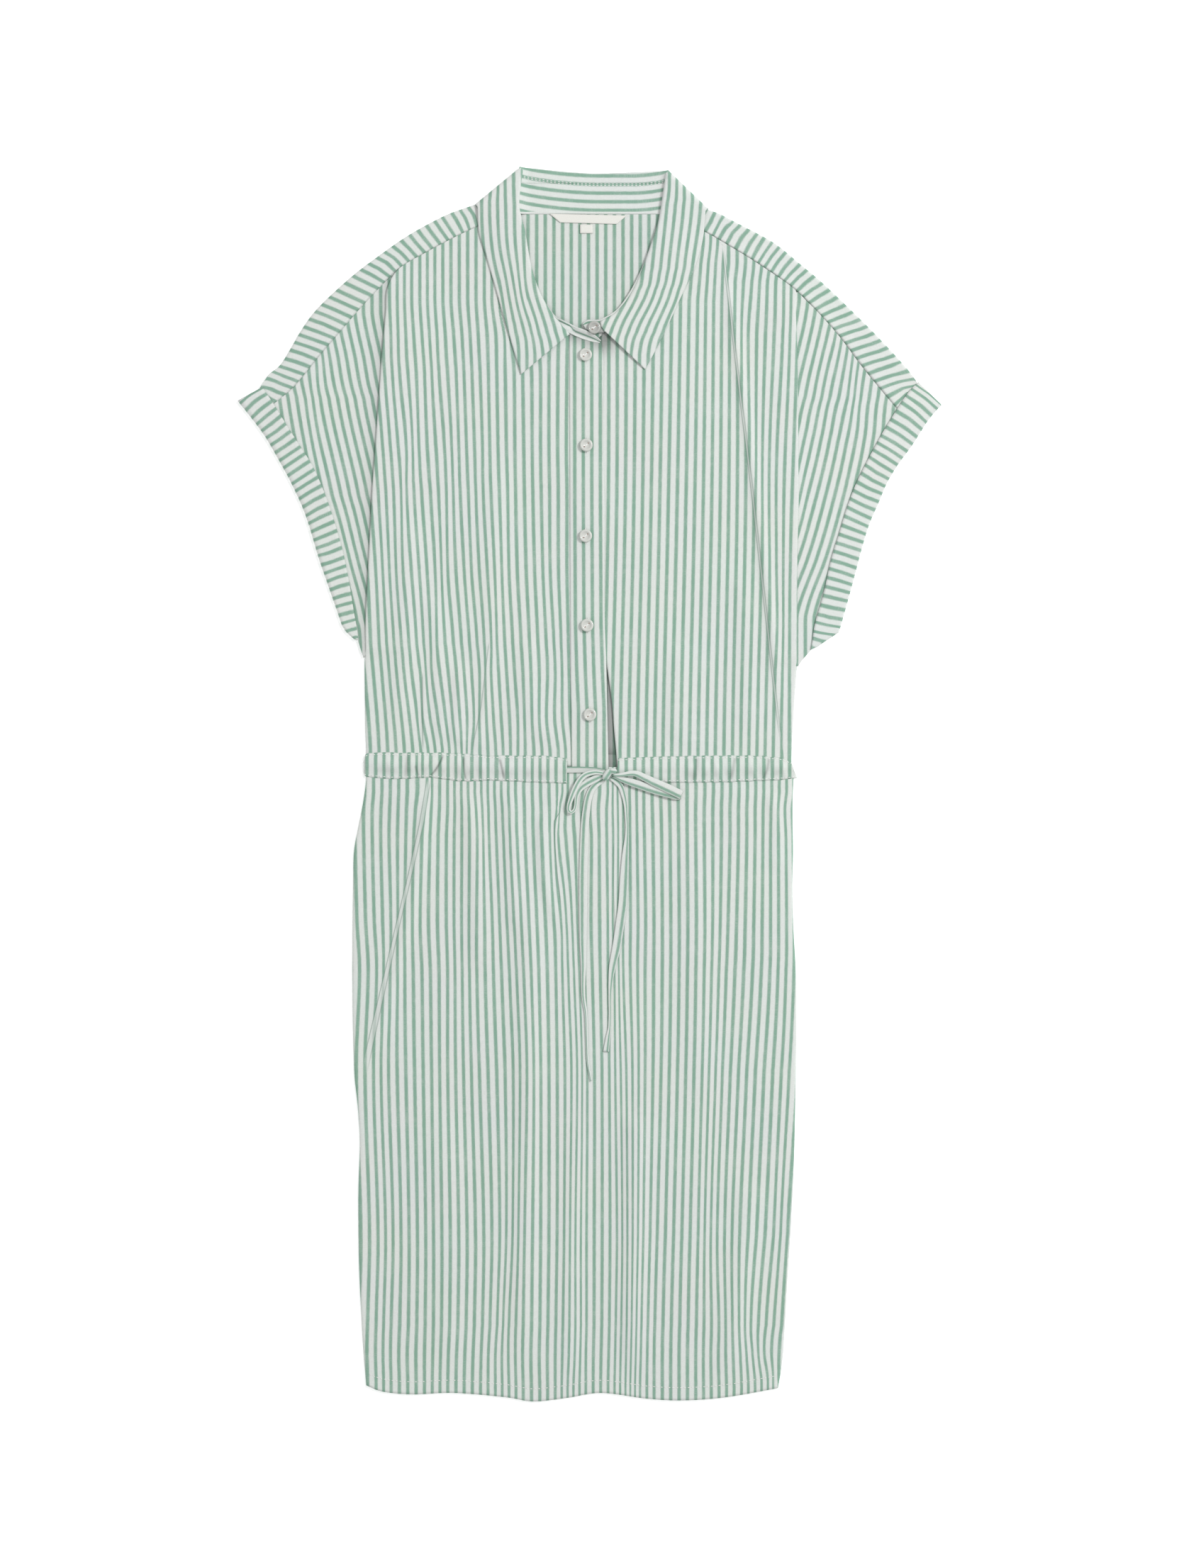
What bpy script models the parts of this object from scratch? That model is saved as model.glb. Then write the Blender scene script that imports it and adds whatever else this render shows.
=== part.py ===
"""A striped cotton shirt dress, laid flat on its back with its drawstring tied.

Millimetres are used for every size and table, and are turned to metres where a mesh is made.
+X is the viewer's right, +Y runs from the waist to the neck, +Z is up, out of the front.
The origin is on the surface that the dress lies on, under the middle of its length and width.
"""
import math
from collections import namedtuple

import bmesh
import bpy
from mathutils import Vector

# Driving sizes
MM = 0.001
CLOTH = 1.2                      # wall of every cloth piece
SEAM = 0.3                       # gap between touching pieces
LAYER = CLOTH + SEAM             # height from one layer to the next
HALF = CLOTH / 2
FRONT_LEVEL = HALF + LAYER       # middle of the wall of the front panels
ROLL_RADIUS = 1.5                # cloth turning down at an outer edge
ROLL_INSET = HALF + ROLL_RADIUS  # where that turn starts, in from the outline
FOLD_TURN = LAYER / 2            # radius of a flat double fold
FOOT = 0.35                      # a rolled edge ends this far above what it rests on
BACK_INSET = 2.1                 # the back lies this far inside the sides
SHOULDER_DROP = 2.4              # and this far below and inside the shoulder line
SHOULDER_INSET = 1.4
BACK_TOP_HALF = 82.0
ROW_STEP = 1.2                   # back sections closer than this are left out
CUFF_LAP = 3.5                   # sleeve end hidden under the turned-up cuff
CUFF_LAP_GAP = 0.4
CUFF_BACK_GAP = 0.9
FOLD_RISE = LAYER + 0.9          # height of the body's edge over the sleeve
FOLD_RADIUS = 0.9
RISE_REACH = 55.0                # the body settles from that fold within this distance
WAIST_TOP = 22.0                 # drawstring channel, upper and lower edge
WAIST_LOW = 2.0
WAIST_SEAM = 13.5                # bodice and skirt meet under the channel
TIE_WIDTH = 4.6
TIE_WALL = 1.2
BUTTON_RADIUS = 5.0
BUTTON_DEPTH = 2.6

# Tables: one row for each section, in millimetres
Rails = namedtuple("Rails", "outer_x outer_y inner_x inner_y")
FrontRow = namedtuple("FrontRow", "level outer fold inner")
Sleeve = namedtuple("Sleeve", "level outer inner")
Level = namedtuple("Level", "level left right")
Edge = namedtuple("Edge", "x y")
Fold = namedtuple("Fold", "x0 y0 x1 y1 bow width height")
Knot = namedtuple("Knot", "x y z")

# Shoulder strips: outer rail on the shoulder line, inner rail on the forward seam
YOKE_LEFT = (
    Rails(-84.0, 446.5, -76.0, 437.5), Rails(-98.0, 446.3, -90.0, 431.5),
    Rails(-114.1, 440.4, -104.0, 425.0), Rails(-141.1, 425.6, -127.0, 412.9),
    Rails(-164.7, 409.1, -148.0, 400.5), Rails(-182.9, 395.3, -163.0, 385.5),
    Rails(-202.7, 377.7, -180.0, 367.5), Rails(-215.3, 364.5, -192.0, 353.5),
    Rails(-225.2, 350.2, -202.0, 342.0), Rails(-232.4, 337.6, -211.5, 331.0),
    Rails(-240.6, 324.9, -223.0, 316.5), Rails(-249.0, 318.3, -233.0, 305.5),
    Rails(-256.0, 308.0, -247.0, 294.0),
)
YOKE_RIGHT = (
    Rails(86.0, 443.5, 80.0, 433.5), Rails(101.0, 442.2, 93.5, 426.8),
    Rails(110.3, 437.7, 103.5, 421.0), Rails(135.6, 424.5, 123.0, 409.3),
    Rails(147.1, 417.3, 134.5, 401.9), Rails(163.6, 403.6, 146.5, 393.9),
    Rails(181.2, 388.7, 161.0, 383.0), Rails(206.5, 364.5, 178.5, 365.5),
    Rails(225.2, 345.8, 195.0, 346.8), Rails(243.9, 325.5, 211.0, 325.3),
    Rails(253.0, 314.5, 227.5, 305.0), Rails(255.0, 310.8, 239.4, 290.9),
)
# Cuffs: outer rail on the turned edge, inner rail on the free edge of the turn-up
CUFF_LEFT = (
    Rails(-273.1, 297.4, -253.8, 307.9), Rails(-262.1, 283.7, -245.6, 295.8),
    Rails(-251.6, 269.4, -235.7, 279.8), Rails(-241.7, 252.3, -225.2, 263.3),
    Rails(-231.3, 233.1, -213.7, 244.6), Rails(-220.3, 208.3, -202.1, 216.6),
    Rails(-210.4, 175.9, -192.2, 183.6), Rails(-203.2, 155.0, -187.3, 161.6),
    Rails(-196.1, 134.6, -183.4, 137.9), Rails(-191.1, 120.9, -180.7, 122.0),
    Rails(-187.5, 115.3, -180.2, 116.0),
)
CUFF_RIGHT = (
    Rails(273.1, 294.1, 254.9, 311.7), Rails(263.2, 282.6, 246.1, 302.4),
    Rails(250.5, 262.9, 230.2, 277.6), Rails(239.5, 247.9, 221.9, 262.8),
    Rails(230.7, 233.1, 214.8, 249.6), Rails(224.7, 218.8, 206.0, 231.4),
    Rails(217.5, 202.3, 199.4, 213.8), Rails(212.0, 184.7, 193.3, 193.5),
    Rails(206.0, 162.1, 187.3, 174.2), Rails(200.5, 141.8, 181.8, 148.9),
    Rails(194.4, 119.8, 176.3, 126.9), Rails(183.5, 110.6, 173.0, 110.0),
)
# Fronts: outer edge, edge of the lengthways fold over the sleeve, inner edge
FRONT_LEFT = (
    FrontRow(437.5, -75.5, None, -60.0), FrontRow(431.5, -89.5, None, -58.0),
    FrontRow(425.0, -103.5, None, -56.0), FrontRow(412.9, -126.5, None, -53.0),
    FrontRow(400.5, -147.5, None, -50.5), FrontRow(385.5, -162.5, None, -46.0),
    FrontRow(367.5, -179.5, -158.1, -37.0), FrontRow(353.5, -191.5, -159.3, -20.0),
    FrontRow(342.0, -201.5, -160.6, -13.0), FrontRow(331.0, -211.0, -161.4, -13.0),
    FrontRow(316.5, -222.5, -162.3, -13.0), FrontRow(305.5, -232.5, -163.2, -13.0),
    FrontRow(294.0, -246.5, -164.1, -13.0), FrontRow(279.8, -239.2, -165.0, -13.0),
    FrontRow(263.3, -228.7, -166.1, -13.0), FrontRow(244.6, -217.2, -167.6, -13.0),
    FrontRow(216.6, -205.6, -169.4, -13.0), FrontRow(183.6, -195.7, -171.0, -13.0),
    FrontRow(161.6, -190.8, -172.2, -13.0), FrontRow(137.9, -186.9, -173.5, -13.0),
    FrontRow(120.5, -183.9, -174.1, -13.0), FrontRow(112.0, -179.4, None, -13.0),
    FrontRow(104.0, -177.9, None, -13.0), FrontRow(94.5, -175.2, None, -13.0),
    FrontRow(70.0, -174.6, None, -13.0), FrontRow(45.0, -174.4, None, -13.0),
    FrontRow(27.0, -173.7, None, -13.0), FrontRow(WAIST_SEAM, -173.5, None, -13.0),
)
FRONT_RIGHT = (
    FrontRow(433.5, 79.5, None, 66.0), FrontRow(426.8, 93.0, None, 63.5),
    FrontRow(421.0, 103.0, None, 60.0), FrontRow(409.3, 122.5, None, 55.0),
    FrontRow(401.9, 134.0, None, 52.0), FrontRow(393.9, 146.0, None, 48.5),
    FrontRow(383.0, 160.5, None, 43.0), FrontRow(365.5, 178.0, 160.2, 31.0),
    FrontRow(346.8, 194.5, 160.9, 8.0), FrontRow(325.3, 210.5, 161.4, -8.0),
    FrontRow(305.0, 227.0, 161.8, -8.0), FrontRow(290.5, 238.9, 162.0, -8.0),
    FrontRow(277.6, 233.7, 162.0, -8.0), FrontRow(262.8, 225.4, 162.0, -8.0),
    FrontRow(249.6, 218.3, 162.1, -8.0), FrontRow(231.4, 209.5, 162.4, -8.0),
    FrontRow(213.8, 202.9, 162.3, -8.0), FrontRow(193.5, 196.8, 161.8, -8.0),
    FrontRow(174.2, 190.8, 161.4, -6.0), FrontRow(148.9, 185.3, 161.3, -1.0),
    FrontRow(126.9, 179.8, 161.2, 5.0), FrontRow(110.5, 176.6, 161.1, 9.5),
    FrontRow(101.5, 168.6, None, 11.5), FrontRow(88.4, 160.9, None, 13.8),
    FrontRow(65.0, 159.3, None, 17.2), FrontRow(40.0, 157.8, None, 19.3),
    FrontRow(24.1, 157.0, None, 20.8), FrontRow(WAIST_SEAM, 157.0, None, 21.5),
)
# Cap sleeves: outer edge, and inner edge under (at its ends beside) the body's fold
SLEEVE_LEFT = (
    Sleeve(384.0, -163.9, -162.9), Sleeve(376.5, -171.0, -161.2), Sleeve(367.5, -179.5, -158.7),
    Sleeve(353.5, -191.5, -151.0), Sleeve(342.0, -201.5, -151.0), Sleeve(331.0, -211.0, -152.0),
    Sleeve(316.5, -222.5, -153.0), Sleeve(305.5, -232.5, -154.0), Sleeve(294.0, -246.5, -155.0),
    Sleeve(279.8, -239.2, -156.0), Sleeve(263.3, -228.7, -157.0), Sleeve(244.6, -217.2, -158.5),
    Sleeve(216.6, -205.6, -160.5), Sleeve(183.6, -195.7, -162.0), Sleeve(161.6, -190.8, -163.0),
    Sleeve(137.9, -186.9, -165.5), Sleeve(120.5, -183.9, -174.9), Sleeve(114.0, -183.0, -179.8),
)
SLEEVE_RIGHT = (
    Sleeve(381.5, 161.9, 161.1), Sleeve(373.5, 169.8, 161.0), Sleeve(365.5, 178.0, 160.8),
    Sleeve(346.8, 194.5, 152.0), Sleeve(325.3, 210.5, 152.0), Sleeve(305.0, 227.0, 152.5),
    Sleeve(290.5, 238.9, 153.0), Sleeve(277.6, 233.7, 153.0), Sleeve(262.8, 225.4, 153.0),
    Sleeve(249.6, 218.3, 153.0), Sleeve(231.4, 209.5, 153.0), Sleeve(213.8, 202.9, 153.0),
    Sleeve(193.5, 196.8, 153.0), Sleeve(174.2, 190.8, 153.0), Sleeve(148.9, 185.3, 153.0),
    Sleeve(126.9, 179.8, 154.0), Sleeve(110.5, 176.4, 161.9), Sleeve(105.5, 175.0, 166.2),
)
SKIRT = (
    Level(WAIST_SEAM - SEAM, -173.5, 157.5), Level(4.0, -173.6, 158.5), Level(-6.0, -174.6, 158.0),
    Level(-19.4, -176.8, 157.8), Level(-35.3, -180.1, 157.9), Level(-54.0, -183.1, 158.1),
    Level(-80.0, -183.8, 157.6), Level(-110.0, -184.2, 158.3), Level(-145.0, -184.3, 160.2),
    Level(-185.0, -184.0, 160.9), Level(-225.0, -182.7, 160.3), Level(-250.0, -180.1, 159.8),
    Level(-280.0, -178.5, 159.2), Level(-315.0, -179.5, 158.0), Level(-350.0, -179.6, 156.2),
    Level(-385.0, -178.6, 153.9), Level(-420.0, -177.0, 151.9), Level(-450.0, -175.3, 149.9),
    Level(-472.0, -173.5, 146.5),
)
HEM = (
    Edge(-173.5, -466.5), Edge(-160.9, -471.5), Edge(-137.8, -473.7), Edge(-105.3, -472.6),
    Edge(-65.2, -475.9), Edge(-43.7, -479.2), Edge(-17.3, -476.4), Edge(9.1, -472.6),
    Edge(44.3, -477.0), Edge(72.0, -478.4), Edge(105.9, -475.9), Edge(146.5, -468.8),
)
HEM_MEAN = -472.0
BACK_HEM = -463.0

# Ridges that stand up from the front: start, end, sideways bow, half width, height
BODICE_FOLDS = (
    Fold(103.1, 410.0, 151.5, 30.0, 1.5, 3.6, 1.8), Fold(-100.0, 95.0, -104.0, 30.0, 0.0, 6.0, 2.2),
    Fold(-124.0, 150.0, -118.0, 28.0, 4.0, 8.0, 1.8), Fold(-48.0, 118.0, -34.0, 28.0, -6.0, 8.0, 1.6),
    Fold(-142.0, 210.0, -150.0, 34.0, 4.0, 9.0, 1.8), Fold(70.0, 110.0, 64.0, 30.0, 0.0, 7.0, 1.2),
    Fold(118.0, 170.0, 124.0, 32.0, 0.0, 8.0, 1.4), Fold(-74.0, 260.0, -80.0, 34.0, 2.0, 9.0, 1.3),
)
SKIRT_FOLDS = (
    Fold(-125.0, -4.0, -171.0, -216.0, 6.0, 4.2, 2.3), Fold(-49.0, -60.0, -54.0, -466.0, 4.0, 10.0, 2.8),
    Fold(36.0, -232.0, 33.0, -466.0, 0.0, 9.0, 2.8), Fold(122.0, -300.0, 104.0, -466.0, 4.0, 10.0, 2.0),
    Fold(-96.0, -2.0, -86.0, -150.0, 3.0, 7.0, 2.0), Fold(-66.0, -2.0, -58.0, -120.0, 2.0, 6.0, 1.8),
    Fold(140.0, -4.0, 144.0, -70.0, 5.0, 6.0, 2.2), Fold(-8.0, -250.0, -14.0, -466.0, -3.0, 8.0, 1.6),
    Fold(78.0, -30.0, 84.0, -260.0, 3.0, 12.0, 1.5), Fold(-120.0, -240.0, -112.0, -460.0, 5.0, 13.0, 1.6),
    Fold(-34.0, -18.0, -24.0, -110.0, -7.0, 4.0, 2.2),
)
GATHER_PITCH = 37.0
GATHER_HEIGHT = 1.1
GATHER_REACH = 34.0

# Collar: the rails run from the front edge up to the shoulder
WING_LEFT = (
    Rails(-53.1, 317.8, -15.1, 349.1), Rails(-59.5, 339.0, -27.8, 364.5),
    Rails(-66.8, 362.9, -37.7, 380.5), Rails(-72.5, 383.5, -44.8, 401.4),
    Rails(-80.0, 409.0, -49.8, 428.9), Rails(-85.6, 427.2, -54.2, 449.8),
)
WING_RIGHT = (
    Rails(43.2, 321.6, 10.2, 354.1), Rails(51.5, 337.0, 19.5, 364.5),
    Rails(60.5, 355.0, 30.0, 378.8), Rails(71.5, 379.0, 39.9, 398.1),
    Rails(81.5, 400.0, 49.8, 425.6), Rails(87.9, 422.5, 54.2, 441.5),
)
WING_TOP_LEFT = Rails(-88.8, 449.8, -53.6, 478.9)
WING_TOP_RIGHT = Rails(92.1, 446.5, 61.3, 476.2)
WING_TURN = 2.5
# Height over the front at shares of the way from the roll to the edge
WING_SECTION = ((0.0, 2 * LAYER), (0.25, 2 * LAYER), (0.5, 2 * LAYER), (0.75, 1.55 * LAYER), (1.0, LAYER))
# Stand: the outer rail is the neck seam under the wing, the inner rail its upper edge
STAND_LEFT = (
    Rails(6.9, 343.5, 8.3, 344.6), Rails(-2.0, 345.2, 2.0, 348.4), Rails(-10.5, 347.9, -6.3, 353.9),
    Rails(-20.0, 350.5, -14.5, 358.2), Rails(-33.0, 355.5, -26.0, 364.5),
    Rails(-46.0, 374.5, -38.5, 381.5), Rails(-55.5, 396.5, -46.5, 402.0),
    Rails(-60.5, 424.5, -51.5, 429.0), Rails(-64.5, 444.0, -56.0, 449.0),
)
STAND_RIGHT = (
    Rails(-3.0, 353.2, -5.5, 357.0), Rails(2.5, 350.4, -1.5, 360.0), Rails(9.5, 347.2, 6.9, 360.6),
    Rails(19.0, 352.5, 14.5, 362.8), Rails(29.0, 362.0, 22.5, 369.5),
    Rails(39.5, 376.0, 32.0, 383.0), Rails(50.0, 395.5, 41.5, 402.0),
    Rails(60.0, 421.5, 51.5, 427.0), Rails(65.0, 441.0, 56.5, 447.5),
)
STAND_BACK_LOW = 443.0
STAND_BACK_TOP = 466.0
STAND_BACK_LEFT = -56.5
STAND_BACK_RIGHT = 60.5
COLLAR_TOP = (Edge(-53.6, 478.9), Edge(-20.0, 475.6), Edge(4.1, 474.0), Edge(30.0, 474.9), Edge(61.3, 476.2))
COLLAR_DROP = (Edge(-84.0, 444.5), Edge(-50.0, 430.0), Edge(0.0, 424.0), Edge(52.0, 430.0), Edge(87.0, 441.5))
COLLAR_BACK_LEFT = -51.0
COLLAR_BACK_RIGHT = 58.5
COLLAR_BACK_STATIONS = 10

PLACKET = (
    Level(343.0, -15.7, 8.3), Level(335.4, -15.7, 10.2), Level(317.0, -15.6, 10.7),
    Level(280.0, -15.5, 9.9), Level(223.0, -15.3, 11.6), Level(180.0, -15.2, 11.6),
    Level(132.0, -15.0, 11.6), Level(94.0, -14.8, 12.9), Level(63.0, -14.6, 13.5),
    Level(36.0, -14.4, 14.1), Level(14.9, -14.2, 14.6),
)
CHANNEL_LEFT = (
    Rails(-175.0, 8.0, -175.2, 17.5), Rails(-165.0, 4.4, -165.0, 23.4), Rails(-146.6, 3.9, -150.0, 24.1),
    Rails(-124.0, 5.0, -128.0, 24.1), Rails(-99.8, 2.2, -104.0, 23.8), Rails(-73.4, 2.7, -76.0, 21.9),
    Rails(-50.9, 1.6, -52.0, 21.9), Rails(-34.0, 1.0, -34.5, 21.6), Rails(-17.5, 0.4, -17.5, 19.7),
)
CHANNEL_RIGHT = (
    Rails(20.0, 1.0, 21.0, 19.7), Rails(40.0, 1.0, 40.0, 20.6), Rails(59.7, 1.0, 59.7, 21.3),
    Rails(82.0, 1.2, 82.0, 21.6), Rails(105.9, 1.5, 104.0, 21.9), Rails(125.0, 2.2, 122.0, 21.9),
    Rails(140.0, 2.8, 137.0, 21.3), Rails(152.0, 3.6, 149.0, 19.9), Rails(160.8, 4.8, 156.5, 16.9),
)
CHANNEL_RIDGE = 1.3
CHANNEL_RIDGE_PITCH = 23.0

# Drawstring routes: heights are the middle of the tie's wall
TIE_FLOOR = FRONT_LEVEL + HALF + SEAM + TIE_WALL / 2
TIE_LOWER = TIE_FLOOR + LAYER
TIE_UPPER = TIE_LOWER + LAYER
STRAP = (Knot(-16.9, 11.0, TIE_FLOOR), Knot(-6.0, 11.4, TIE_FLOOR), Knot(4.0, 11.3, TIE_FLOOR),
         Knot(13.0, 11.0, TIE_FLOOR))
LOOP_LEFT = (
    Knot(9.6, 8.4, TIE_UPPER), Knot(1.0, 7.0, TIE_UPPER), Knot(-7.0, 3.6, TIE_UPPER),
    Knot(-13.0, -3.5, TIE_UPPER), Knot(-18.2, -11.5, TIE_UPPER - 0.2), Knot(-19.4, -17.5, TIE_UPPER - 0.5),
    Knot(-16.6, -20.7, TIE_LOWER + 0.7), Knot(-13.0, -18.6, TIE_LOWER + 0.2), Knot(-11.6, -12.5, TIE_LOWER),
    Knot(-9.6, -5.5, TIE_LOWER), Knot(-3.5, -0.6, TIE_LOWER), Knot(4.5, 2.2, TIE_LOWER),
)
LOOP_RIGHT = (
    Knot(21.3, 8.6, TIE_UPPER), Knot(31.0, 8.4, TIE_UPPER), Knot(42.0, 5.4, TIE_UPPER),
    Knot(54.0, 0.0, TIE_UPPER), Knot(64.0, -5.6, TIE_UPPER - 0.2), Knot(68.2, -9.0, TIE_UPPER - 0.6),
    Knot(66.6, -12.2, TIE_LOWER + 0.6), Knot(61.0, -11.0, TIE_LOWER + 0.1), Knot(52.0, -7.6, TIE_LOWER),
    Knot(41.0, -3.2, TIE_LOWER), Knot(31.0, 1.2, TIE_LOWER), Knot(23.0, 4.2, TIE_LOWER),
)
TAIL_LEFT = (
    Knot(11.2, 3.6, TIE_FLOOR), Knot(5.5, 0.6, TIE_FLOOR), Knot(0.4, -5.0, TIE_FLOOR),
    Knot(-3.0, -13.0, TIE_FLOOR), Knot(-5.6, -25.4, TIE_FLOOR), Knot(-6.9, -42.5, TIE_FLOOR),
    Knot(-7.6, -65.0, TIE_FLOOR), Knot(-8.5, -89.2, TIE_FLOOR), Knot(-8.3, -112.0, TIE_FLOOR),
    Knot(-6.6, -135.0, TIE_FLOOR), Knot(-5.1, -160.0, TIE_FLOOR), Knot(-3.7, -182.0, TIE_FLOOR),
    Knot(-1.9, -207.0, TIE_FLOOR), Knot(0.2, -229.0, TIE_FLOOR),
)
TAIL_RIGHT = (
    Knot(16.6, 3.4, TIE_FLOOR), Knot(17.4, -2.8, TIE_FLOOR), Knot(21.8, -9.0, TIE_FLOOR),
    Knot(26.4, -16.0, TIE_FLOOR), Knot(28.9, -26.0, TIE_FLOOR), Knot(29.2, -42.0, TIE_FLOOR),
    Knot(27.0, -62.0, TIE_FLOOR), Knot(24.3, -84.0, TIE_FLOOR), Knot(22.2, -106.0, TIE_FLOOR),
    Knot(19.2, -128.0, TIE_FLOOR), Knot(16.4, -148.0, TIE_FLOOR), Knot(15.0, -168.0, TIE_FLOOR),
    Knot(14.2, -188.0, TIE_FLOOR), Knot(12.0, -206.0, TIE_FLOOR),
)
KNOT_CENTRE = Knot(15.4, 8.1, 7.4)
KNOT_HALF = Knot(5.2, 4.8, 2.8)
TIE_STEP = 8.0

BUTTON_PLACES = (Edge(-3.0, 332.9), Edge(-2.5, 262.8), Edge(-3.0, 192.4), Edge(-1.9, 123.1), Edge(0.3, 53.8))
STAND_BUTTON = Edge(3.7, 353.9)
BUTTON_TOP_LEVEL = FRONT_LEVEL + LAYER + HALF + SEAM

LABEL_WALL = 1.0
LABEL = (Edge(-31.1, 442.4), Edge(28.9, 441.0), Edge(21.2, 434.4), Edge(-22.8, 435.6))
TAB = (Edge(-7.4, 434.1), Edge(2.5, 434.0), Edge(2.6, 427.2), Edge(-7.3, 427.2))

COTTON = (0.62, 0.76, 0.67, 1.0)
COTTON_SHADE = (0.5, 0.64, 0.56, 1.0)
PEARL = (0.86, 0.86, 0.83, 1.0)
LABEL_WHITE = (0.84, 0.83, 0.78, 1.0)

# Lift over the back of the collar, which lies under the neck
LIFT = LAYER
LIFT_LOW = 345.0
LIFT_FULL = 416.0


def ease(value):
    """Smooth step from 0 to 1."""
    value = min(1.0, max(0.0, value))
    return value * value * (3 - 2 * value)


def mix(first, second, share):
    return first + (second - first) * share


def along(table, value, key, field):
    """Value of a table's column at a place between its rows, which run either way."""
    rows = sorted(table, key=lambda row: getattr(row, key))
    if value <= getattr(rows[0], key):
        return getattr(rows[0], field)
    for low, high in zip(rows, rows[1:]):
        start = getattr(low, key)
        end = getattr(high, key)
        if value <= end:
            return mix(getattr(low, field), getattr(high, field), (value - start) / (end - start))
    return getattr(rows[-1], field)


def smooth_route(points, step):
    """Points of a smooth curve through a route, about one step apart."""
    vectors = [Vector(point) for point in points]
    padded = [2 * vectors[0] - vectors[1]] + vectors + [2 * vectors[-1] - vectors[-2]]
    route = []
    for index in range(1, len(padded) - 2):
        before, start, end, after = padded[index - 1:index + 3]
        count = max(1, round((end - start).length / step))
        for part in range(count):
            t = part / count
            spline = (2 * start + (end - before) * t
                      + (2 * before - 5 * start + 4 * end - after) * t ** 2
                      + (3 * start - before - 3 * end + after) * t ** 3)
            route.append(spline / 2)
    route.append(vectors[-1])
    return route


def lift(y):
    """Height that the collar's back drop adds under the neck."""
    return LIFT * ease((y - LIFT_LOW) / (LIFT_FULL - LIFT_LOW))


def ridge(fold, x, y):
    """Height of one soft ridge at a place."""
    run = Vector((fold.x1 - fold.x0, fold.y1 - fold.y0))
    place = Vector((x - fold.x0, y - fold.y0))
    share = place.dot(run) / run.length_squared
    if share <= 0 or share >= 1:
        return 0.0
    off = (run.x * place.y - run.y * place.x) / run.length - fold.bow * 4 * share * (1 - share)
    ends = ease(share / 0.16) * ease((1 - share) / 0.16)
    return fold.height * ends * math.exp(-(off / fold.width) ** 2)


def gathers(x, y):
    """Uneven small waves where the channel draws the cloth in."""
    away = max(0.0, y - WAIST_TOP, WAIST_LOW - y)
    wave = 0.5 + 0.5 * math.sin(2 * math.pi * (x + 9 * math.sin(x / 41)) / GATHER_PITCH)
    return GATHER_HEIGHT * wave * ease(away / 12) * math.exp(-away / GATHER_REACH)


def calm(x, y):
    """0 where other pieces lie on the front, 1 where the cloth is free to ripple."""
    waist = ease(max(y - WAIST_TOP - 1, WAIST_LOW - 1 - y) / 10)
    middle = ease((abs(x - 5) - 24) / 16) if y > -250 else ease(max(abs(x - 5) - 24, -250 - y) / 16)
    collar = ease((abs(x) - 92) / 14) if y > 300 else 1.0
    return waist * middle * collar


def front_middle(x, y):
    """Middle of the wall of the front, where no lengthways fold lifts it."""
    folds = BODICE_FOLDS if y > WAIST_SEAM else SKIRT_FOLDS
    ridges = sum(ridge(fold, x, y) for fold in folds) + gathers(x, y)
    return FRONT_LEVEL + lift(y) + ridges * calm(x, y)


def material(name, colour, roughness):
    """Principled material in one colour."""
    made = bpy.data.materials.new(name)
    made.use_nodes = True
    shader = made.node_tree.nodes["Principled BSDF"]
    shader.inputs["Base Color"].default_value = colour
    shader.inputs["Roughness"].default_value = roughness
    shader.inputs["Metallic"].default_value = 0.0
    return made


def keep(mesh, name, colour, roughness=0.85):
    """Put a finished mesh in the dress as a named object."""
    made = bpy.data.objects.new(name, mesh)
    mesh.materials.append(material(name, colour, roughness))
    mesh.shade_smooth()
    COLLECTION.objects.link(made)
    return made


def cloth(name, rows, wall=CLOTH, colour=COTTON, even=True):
    """Cloth wall whose middle runs through rows of points, all of one length."""
    columns = len(rows[0]) - 1
    shape = bmesh.new()
    bmesh.ops.create_grid(shape, x_segments=columns, y_segments=len(rows) - 1, size=1.0)
    shape.verts.ensure_lookup_table()
    for number, vertex in enumerate(shape.verts):
        row, column = divmod(number, columns + 1)
        vertex.co = Vector(rows[row][column]) * MM
    mesh = bpy.data.meshes.new(name)
    shape.to_mesh(mesh)
    shape.free()
    made = keep(mesh, name, colour)
    solid = made.modifiers.new("wall", "SOLIDIFY")
    solid.thickness = wall * MM
    solid.offset = 0.0
    solid.use_even_offset = even
    solid.use_quality_normals = True
    return made


def edge_columns(x, y, inward, top, foot, rolled, radius=ROLL_RADIUS):
    """Five points from the flat cloth out over its edge: rolled down to foot, or run out flat."""
    points = []
    for index, degrees in enumerate((0, 30, 60, 90, 90)):
        turn = math.radians(degrees)
        inset = HALF + radius * (1 - math.sin(turn))
        height = foot if index == 4 else top - radius * (1 - math.cos(turn))
        inset = mix(HALF + radius * (1 - index / 4), inset, rolled)
        height = mix(top, height, rolled)
        points.append((x + inward[0] * inset, y + inward[1] * inset, height))
    return points


def yoke(name, table):
    """Shoulder strip: from the forward seam, out and down over the shoulder line."""
    rows = []
    for index, row in enumerate(table):
        outer = Vector((row.outer_x, row.outer_y))
        inner = Vector((row.inner_x, row.inner_y))
        inward = (inner - outer).normalized()
        start = outer + inward * ROLL_INSET
        points = []
        for share in (0.0, 0.35, 0.7):
            place = inner.lerp(start, share)
            points.append((place.x, place.y, FRONT_LEVEL + lift(place.y)))
        rolled = 1.0 if index < len(table) - 2 else 0.0
        top = FRONT_LEVEL + lift(outer.y)
        points += edge_columns(outer.x, outer.y, inward, top, lift(outer.y) + FOOT, rolled)
        rows.append(points)
    return cloth(name, rows)


def body_edge(row):
    """Edge of the body in a front's row: its lengthways fold, or its outer edge."""
    return row.outer if row.fold is None else row.fold


def last_fold(table):
    """Level at which the lengthways fold ends above the waist."""
    return min(row.level for row in table if row.fold is not None)


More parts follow.
